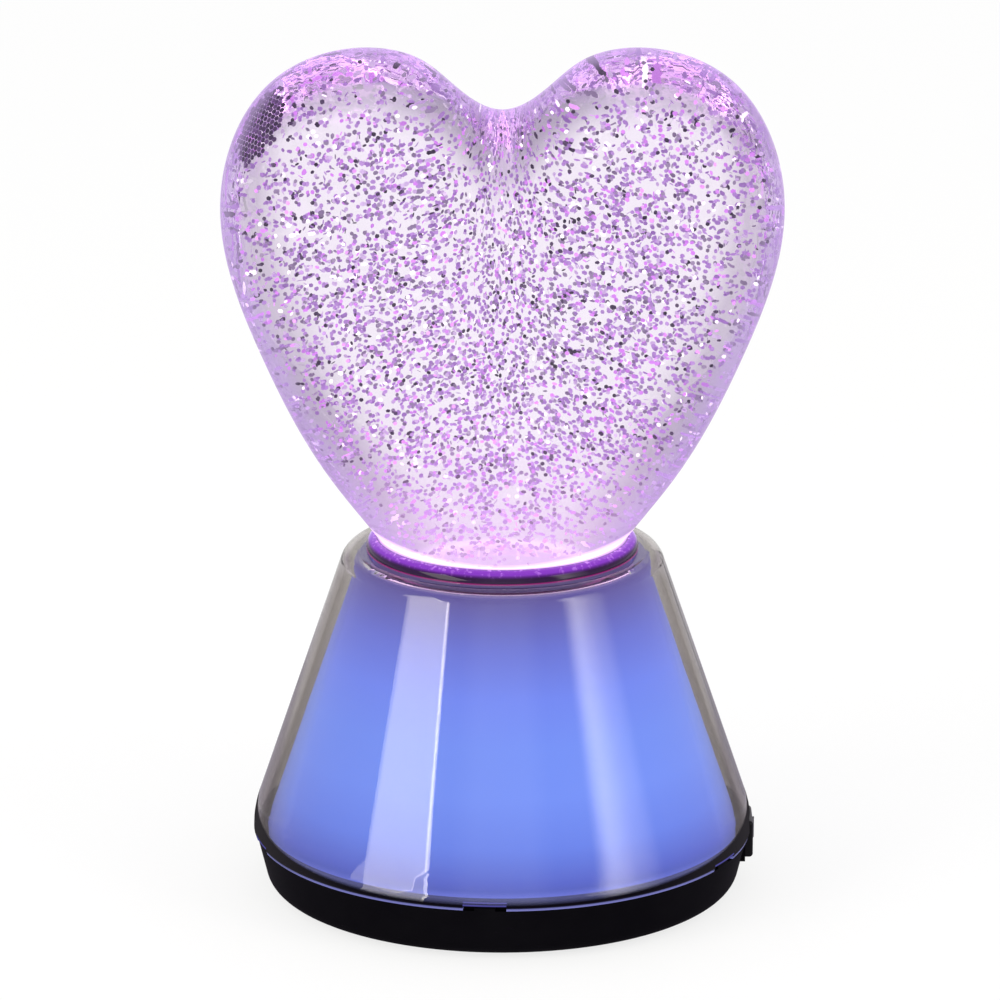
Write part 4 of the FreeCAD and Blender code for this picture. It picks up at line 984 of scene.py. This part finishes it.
@dataclass
class Studio:
    """Pale floor, white surroundings, two soft boxes and the camera."""

    floor_half: float = 4.0
    floor_rise: float = -0.0002
    fill: float = 0.9
    walls: Stops = ((0.0, "#FBF9FD"), (0.25, "#EDEAF0"), (0.6, "#E0DCE6"))
    boxes: tuple[SoftBox, ...] = (EDGED_BOX, FADED_BOX)
    camera_lens: float = 213.8
    camera_sensor: float = 36.0
    camera_place: tuple[float, float, float] = (-0.00065, -1.561, 0.565)
    camera_tilt: float = 73.74
    lights: list[bpy.types.Object] = field(default_factory=list)

    def build(self) -> None:
        """Makes the whole studio."""
        bpy.context.scene.view_settings.view_transform = "Standard"
        self.build_floor()
        self.build_world()
        self.lights.extend(box.build() for box in self.boxes)
        self.build_camera()

    def build_floor(self) -> None:
        """Makes the floor."""
        shape = bmesh.new()
        bmesh.ops.create_grid(shape, x_segments=1, y_segments=1, size=self.floor_half)
        bmesh.ops.translate(shape, verts=shape.verts, vec=(0, 0, self.floor_rise))
        floor = finished("studio_floor", shape, PAPER)

    def build_world(self) -> None:
        """Makes surroundings that are white where they are seen, pale grey in gloss, and plain where they light."""
        world = bpy.data.worlds.new("studio_world")
        bpy.context.scene.world = world
        world.use_nodes = True
        tree = world.node_tree
        tree.nodes.clear()
        light = add(tree, "Background", {"Color": linear(WHITE), "Strength": self.fill})
        way = add(tree, "TexCoord").outputs["Generated"]
        rise = add(tree, "SeparateXYZ", {"Vector": way}).outputs["Z"]
        walls = add(tree, "ValToRGB", {"Fac": rise}, self.walls)
        white = add(tree, "Background", {"Color": surroundings(tree, way, walls), "Strength": 1.0})
        both = add(tree, "MixShader", {0: seen_directly(tree), 1: light, 2: white})
        add(tree, "OutputWorld", {"Surface": both})

    def flag_off(self, piece: bpy.types.Object) -> None:
        """Keeps the soft boxes off one piece, as a black card does, so that they leave no white patch on it.

        Args:
            piece: The piece.
        """
        card = bpy.data.collections.new("behind_the_card")
        card.objects.link(piece)
        card.collection_objects[0].light_linking.link_state = "EXCLUDE"
        for light in self.lights:
            light.light_linking.receiver_collection = card

    def build_camera(self) -> None:
        """Makes the camera at the photograph's viewing angle."""
        lens = bpy.data.cameras.new("studio_camera")
        lens.lens = self.camera_lens
        lens.sensor_width = self.camera_sensor
        camera = bpy.data.objects.new("studio_camera", lens)
        camera.location = self.camera_place
        camera.rotation_euler = (math.radians(self.camera_tilt), 0, 0)
        bpy.context.collection.objects.link(camera)
        bpy.context.scene.camera = camera


@dataclass
class Assembly:
    """What all sub-assemblies share: the finishes of the nodes that keep their own meshes."""

    finishes: ClassVar[dict[str, Finish]] = {}

    def dress(self) -> Iterator[str]:
        """Gives each node its finish.

        Yields:
            The name of each node that is dressed.
        """
        for name, finish in self.finishes.items():
            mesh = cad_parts[name].data
            mesh.materials.clear()
            mesh.materials.append(finish.material())
            yield name


@dataclass
class Heart(Assembly):
    """The clear heart with its thick wall, the liquid in it, and what closes its neck."""

    finishes: ClassVar[dict[str, Finish]] = {
        "neck_plug": LIT_PLUG,
        "plug_seal": SEAL_SILICONE,
        "filler_stopper": SEAL_SILICONE,
    }
    same_point: float = 0.001 * MM
    contact: float = 0.3 * MM
    hollow_faces: int = 100

    def copied(self, node: str) -> bmesh.types.BMesh:
        """Copies a node's mesh with its loose triangles joined, and keeps its exact normals in a layer.

        Args:
            node: Name of the node.

        Returns:
            The copy.
        """
        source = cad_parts[node].data
        shape = bmesh.new()
        shape.from_mesh(source)
        exact = shape.loops.layers.float_vector.new("exact_normal")
        normals = iter(source.corner_normals)
        for face in shape.faces:
            for corner in face.loops:
                corner[exact] = next(normals).vector
        bmesh.ops.remove_doubles(shape, verts=shape.verts, dist=self.same_point)
        return shape

    def smoothed(self, piece: bpy.types.Object) -> None:
        """Gives a copied piece the exact normals that its copy kept.

        Args:
            piece: The piece.
        """
        mesh = piece.data
        exact = mesh.attributes["exact_normal"]
        normals = [tuple(item.vector) for item in exact.data]
        mesh.attributes.remove(exact)
        mesh.polygons.foreach_set("use_smooth", [True] * len(mesh.polygons))
        mesh.normals_split_custom_set(normals)

    def build_liquid(self) -> bpy.types.Object:
        """Makes the liquid as one smooth body, without the hollows that its solid has round the sample of flakes.

        Returns:
            The liquid.
        """
        shape = self.copied("water_fill")
        left = set(shape.faces)
        hollows = []
        while left:
            edge_of_island = [left.pop()]
            island = list(edge_of_island)
            while edge_of_island:
                face = edge_of_island.pop()
                near = {other for edge in face.edges for other in edge.link_faces if other in left}
                left -= near
                edge_of_island.extend(near)
                island.extend(near)
            if len(island) < self.hollow_faces:
                hollows.extend(island)
        bmesh.ops.delete(shape, geom=hollows, context="FACES")
        piece = finished("liquid", shape, LIQUID)
        self.smoothed(piece)
        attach(piece, BODY)
        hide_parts("water_fill")
        return piece

    def build_wall(self, liquid: bpy.types.Object) -> bpy.types.Object:
        """Makes the heart's wall, with a finish of its own where liquid touches it.

        Args:
            liquid: The liquid.

        Returns:
            The wall.
        """
        shape = self.copied("heart_vessel")
        wet = BVHTree.FromObject(liquid, bpy.context.evaluated_depsgraph_get())
        for face in shape.faces:
            if wet.find_nearest(face.calc_center_median())[3] < self.contact:
                face.material_index = 1
        piece = finished("heart_wall", shape, HEART_ACRYLIC)
        piece.data.materials.append(WET_ACRYLIC.material())
        self.smoothed(piece)
        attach(piece, BODY)
        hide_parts("heart_vessel")
        return piece

    def build(self) -> Iterator[bpy.types.Object]:
        """Makes the liquid and then the wall round it.

        Yields:
            Each piece.
        """
        liquid = self.build_liquid()
        yield liquid
        yield self.build_wall(liquid)


class FlakeTone(Enum):
    """The kinds of flake that drift in the liquid, with how many there are and what they are punched from."""

    VIOLET = "violet"
    PINK = "pink"
    PALE = "pale"
    GREY = "grey"
    DARK = "dark"
    WHITE = "white"


FLAKE_FILMS: dict[FlakeTone, tuple[int, GlitterFilm]] = {
    # Violet film: see-through mauve, the bulk of the glitter.
    FlakeTone.VIOLET: (
        4500,
        GlitterFilm("violet_glitter_film", ((0.0, "#9472B0"), (0.5, "#A680C2"), (1.0, "#C09CD8")), 0.38, 0.35),
    ),
    # Magenta film: bright pink glints.
    FlakeTone.PINK: (
        1400,
        GlitterFilm("magenta_glitter_film", ((0.0, "#BC7CD0"), (0.6, "#D88CEC"), (1.0, "#F0B0FC")), 0.5, 0.25),
    ),
    # Thin film seen against the light: pale lilac.
    FlakeTone.PALE: (
        1650,
        GlitterFilm("pale_glitter_film", ((0.0, "#BAA2CA"), (1.0, "#CDBADA")), 0.5, 0.4),
    ),
    # Silver film, with the grey of the room painted on as a reflection.
    FlakeTone.GREY: (
        1900,
        GlitterFilm("silver_glitter_film", ((0.0, "#7E708A"), (0.5, "#9486A2"), (1.0, "#AA9CB6")), 0.3, 0.4),
    ),
    # Silver film, with a dark reflection painted on: near black dots.
    FlakeTone.DARK: (
        900,
        GlitterFilm("shaded_glitter_film", ((0.0, "#2E2438"), (0.6, "#4C3E5A"), (1.0, "#6A5A78")), 0.08, 0.5),
    ),
    # Silver film, with a lamp's reflection painted on and a painted glow: white sparks.
    FlakeTone.WHITE: (
        380,
        GlitterFilm("sparkling_glitter_film", ((0.0, WHITE), (1.0, "#FFF2FF")), 1.0, 0.2),
    ),
}
# The sample in the solids is of the same violet film: its shade changes from place to place.
SAMPLED_FILM = GlitterFilm(
    "sampled_glitter_film", ((0.3, "#9472B0"), (0.5, "#A680C2"), (0.7, "#C09CD8")), 0.38, 0.35, by_flake=False
)
# Flakes that cling to the wall, edge to edge, in painted shade for the light behind them: dark plum.
PATCH_FILM = GlitterFilm("clinging_glitter_film", ((0.0, "#2A1838"), (0.6, "#3E2650"), (1.0, "#6A4A80")), 0.12, 0.5)


@dataclass
class Glitter(Assembly):
    """Thousands of hexagonal flakes that drift in the liquid, and a patch of them that clings to the wall."""

    finishes: ClassVar[dict[str, Finish]] = {"glitter_flakes": SAMPLED_FILM}
    flake_radius: float = 0.58 * MM
    flake_thickness: float = 0.1 * MM
    wall_room: float = 1.3 * MM
    cling_room: float = 0.3 * MM
    lowest: float = 99.0 * MM
    seed: int = 41
    carried: float = 0.6
    sway: float = 50.0
    top_share: float = 0.9
    top_crowding: float = 0.4
    neck_share: float = 0.18
    neck_crowding: float = 0.9
    patch_flake_radius: float = 0.74 * MM
    patch_pitch: float = 1.55 * MM
    patch_rows: int = 10
    patch_columns: int = 6
    patch_centre: tuple[float, float] = (-64.5 * MM, 216.0 * MM)
    patch_ragged: float = 0.55
    start_room: float = 10.0 * MM
    surface: BVHTree = field(init=False)
    low: tuple[float, float, float] = field(init=False)
    high: tuple[float, float, float] = field(init=False)
    chance: random.Random = field(init=False)

    def template(self, radius: float) -> bpy.types.Mesh:
        """Makes one hexagonal flake that lies flat at the origin.

        Args:
            radius: From its middle to its corners.

        Returns:
            The flake.
        """
        shape = bmesh.new()
        bmesh.ops.create_circle(shape, cap_ends=True, segments=6, radius=radius)
        face = bmesh.ops.extrude_face_region(shape, geom=shape.faces[:])
        top = [item for item in face["geom"] if isinstance(item, bmesh.types.BMVert)]
        bmesh.ops.translate(shape, verts=top, vec=(0, 0, self.flake_thickness))
        bmesh.ops.recalc_face_normals(shape, faces=shape.faces)
        mesh = bpy.data.meshes.new("flake")
        shape.to_mesh(mesh)
        shape.free()
        return mesh

    def crowding(self, place: Vector) -> float:
        """Says how likely a flake is to be at a place: less at the very top and down in the neck.

        Args:
            place: The place.

        Returns:
            A share from 0 to 1.
        """
        share = (place.z - self.lowest) / (self.high[2] - self.lowest)
        if share > self.top_share:
            return self.top_crowding
        return self.neck_crowding if share < self.neck_share else 1.0

    def inside(self, place: Vector) -> bool:
        """Tells whether a flake at a place is wholly in the liquid.

        Args:
            place: The place.

        Returns:
            Whether it is inside by more than its own reach.
        """
        near, normal, _, distance = self.surface.find_nearest(place)
        return (place - near).dot(normal) < 0 and distance > self.flake_radius + self.wall_room

    def turned(self) -> Matrix:
        """Gives one flake's turn: most lie across the stream that rises at the front, the others anyhow.

        Returns:
            The turn.
        """
        spin = Matrix.Rotation(self.chance.uniform(0, 2 * math.pi), 3, "Z")
        if self.chance.random() > self.carried:
            return Euler([self.chance.uniform(0, 2 * math.pi) for _ in range(3)]).to_matrix() @ spin
        side = self.chance.uniform(-self.sway, self.sway)
        nod = self.chance.uniform(-self.sway, self.sway)
        return Euler((math.radians(90 + nod), 0, math.radians(side)), "XYZ").to_matrix() @ spin

    def places(self, count: int) -> Iterator[Matrix]:
        """Gives drifting flakes, each turned its own way.

        Args:
            count: How many.

        Yields:
            Where each flake lies and how it is turned.
        """
        made = 0
        while made < count:
            lows = (self.low[0], self.low[1], self.lowest)
            place = Vector([self.chance.uniform(low, high) for low, high in zip(lows, self.high)])
            if self.chance.random() < self.crowding(place) and self.inside(place):
                made += 1
                yield Matrix.Translation(place) @ self.turned().to_4x4()

    def clinging(self) -> Iterator[Matrix]:
        """Gives the flakes that lie side by side on the inside of the left lobe's front wall.

        Yields:
            Where each flake lies and how it is turned.
        """
        start = Vector((self.patch_centre[0], self.low[1] - self.start_room, self.patch_centre[1]))
        middle, outwards, _, _ = self.surface.ray_cast(start, Vector((0, 1, 0)))
        along = (Vector((0, 0, 1)) - outwards * outwards.z).normalized()
        beside = along.cross(outwards)
        row_pitch = self.patch_pitch * math.sin(math.radians(60))
        half_wide, half_high = self.patch_columns * self.patch_pitch, self.patch_rows * row_pitch
        for row in range(-self.patch_rows, self.patch_rows + 1):
            for column in range(-self.patch_columns, self.patch_columns + 1):
                across = (column + 0.5 * (row % 2)) * self.patch_pitch
                up = row * row_pitch
                reach = (across / half_wide) ** 2 + (up / half_high) ** 2
                if reach > self.chance.uniform(self.patch_ragged, 1.0):
                    continue
                hit, normal, _, _ = self.surface.find_nearest(middle + along * up + beside * across)
                lie = normal.to_track_quat("Z", "Y").to_matrix().to_4x4()
                yield Matrix.Translation(hit - normal * (self.cling_room + self.flake_thickness)) @ lie

    def build_flakes(self, name: str, finish: Finish, places: Iterator[Matrix], radius: float) -> bpy.types.Object:
        """Makes one piece of all the flakes of one film.

        Args:
            name: Name of the piece.
            finish: The film.
            places: Where each flake lies.
            radius: Radius of a flake.

        Returns:
            The piece.
        """
        flake = self.template(radius)
        shape = bmesh.new()
        for place in places:
            turned = flake.copy()
            turned.transform(place)
            shape.from_mesh(turned)
            bpy.data.meshes.remove(turned)
        bpy.data.meshes.remove(flake)
        piece = finished(name, shape, finish)
        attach(piece, BODY)
        return piece

    def build(self, liquid: bpy.types.Object) -> Iterator[bpy.types.Object]:
        """Makes the drifting flakes, film by film, and then the patch on the wall.

        Args:
            liquid: The liquid, which the flakes stay inside.

        Yields:
            Each piece.
        """
        self.surface = BVHTree.FromObject(liquid, bpy.context.evaluated_depsgraph_get())
        self.low, self.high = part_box("water_fill")
        self.chance = random.Random(self.seed)
        for tone, (count, film) in FLAKE_FILMS.items():
            yield self.build_flakes(f"glitter_{tone.value}", film, self.places(count), self.flake_radius)
        yield self.build_flakes("glitter_patch", PATCH_FILM, self.clinging(), self.patch_flake_radius)


@dataclass
class Cone(Assembly):
    """The smoked outer cone, the lit cone in it, and the glossy ring round the neck."""

    finishes: ClassVar[dict[str, Finish]] = {
        "outer_shell": SMOKED_ACRYLIC,
        "diffuser_cone": BLUE_FROST,
        "neck_collar": COLLAR_GLOSS,
    }


@dataclass
class Base(Assembly):
    """The black base with its door, feet and tower."""

    finishes: ClassVar[dict[str, Finish]] = {
        "base_bowl": BLACK_ABS,
        "battery_door": BLACK_ABS,
        "door_screw": ZINC_STEEL,
        "rubber_feet": FOOT_RUBBER,
        "support_tower": WHITE_ABS,
        "tower_screws": ZINC_STEEL,
    }


@dataclass
class Switch(Assembly):
    """The rocker switch in the base's right side."""

    finishes: ClassVar[dict[str, Finish]] = {
        "switch_housing": BLACK_PC,
        "switch_rocker": BLACK_PC,
        "switch_terminals": BRASS,
        "switch_leads": WIRE_SLEEVE,
    }


@dataclass
class Stirrer(Assembly):
    """The motor, and the magnets through which it turns the stirrer in the liquid."""

    finishes: ClassVar[dict[str, Finish]] = {
        "impeller": CLEAR_STIRRER,
        "impeller_pin": ZINC_STEEL,
        "impeller_magnets": NICKEL,
        "magnet_carrier": WHITE_ABS,
        "drive_magnets": NICKEL,
        "motor_can": ZINC_STEEL,
        "motor_end_cap": WHITE_ABS,
        "motor_magnets": FERRITE,
        "motor_rotor": ZINC_STEEL,
        "motor_shaft": ZINC_STEEL,
        "motor_leads": WIRE_SLEEVE,
    }


@dataclass
class Electrics(Assembly):
    """The boards with their lights, and the cells that feed them."""

    finishes: ClassVar[dict[str, Finish]] = {
        "cell_front": CELL_SLEEVE,
        "cell_middle": CELL_SLEEVE,
        "cell_back": CELL_SLEEVE,
        "flat_contacts": BRASS,
        "leaf_contacts": BRASS,
        "control_board": BOARD,
        "ring_board": BOARD,
        "board_screws": ZINC_STEEL,
        "cone_lights": BLUE_LIGHT,
        "heart_lights": PINK_LIGHT,
        "driver_chip": CHIP_EPOXY,
        "capacitor": CELL_SLEEVE,
        "lead_sockets": WHITE_ABS,
        "battery_tray": WHITE_ABS,
        "light_leads": WIRE_SLEEVE,
        "battery_leads": WIRE_SLEEVE,
    }


def main() -> None:
    """Dresses the lamp, assembly by assembly, and reports each piece."""
    logging.basicConfig(level=logging.INFO, format="%(name)s: %(message)s")
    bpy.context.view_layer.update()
    studio, heart, glitter = Studio(), Heart(), Glitter()
    studio.build()
    for assembly in (heart, glitter, Cone(), Base(), Switch(), Stirrer(), Electrics()):
        for name in assembly.dress():
            LOG.info("%s dressed %s", type(assembly).__name__, name)
    liquid, wall = heart.build()
    studio.flag_off(wall)
    for piece in (liquid, wall, *glitter.build(liquid)):
        LOG.info("built %s: %d faces", piece.name, len(piece.data.polygons))


if __name__ == "__main__":
    main()
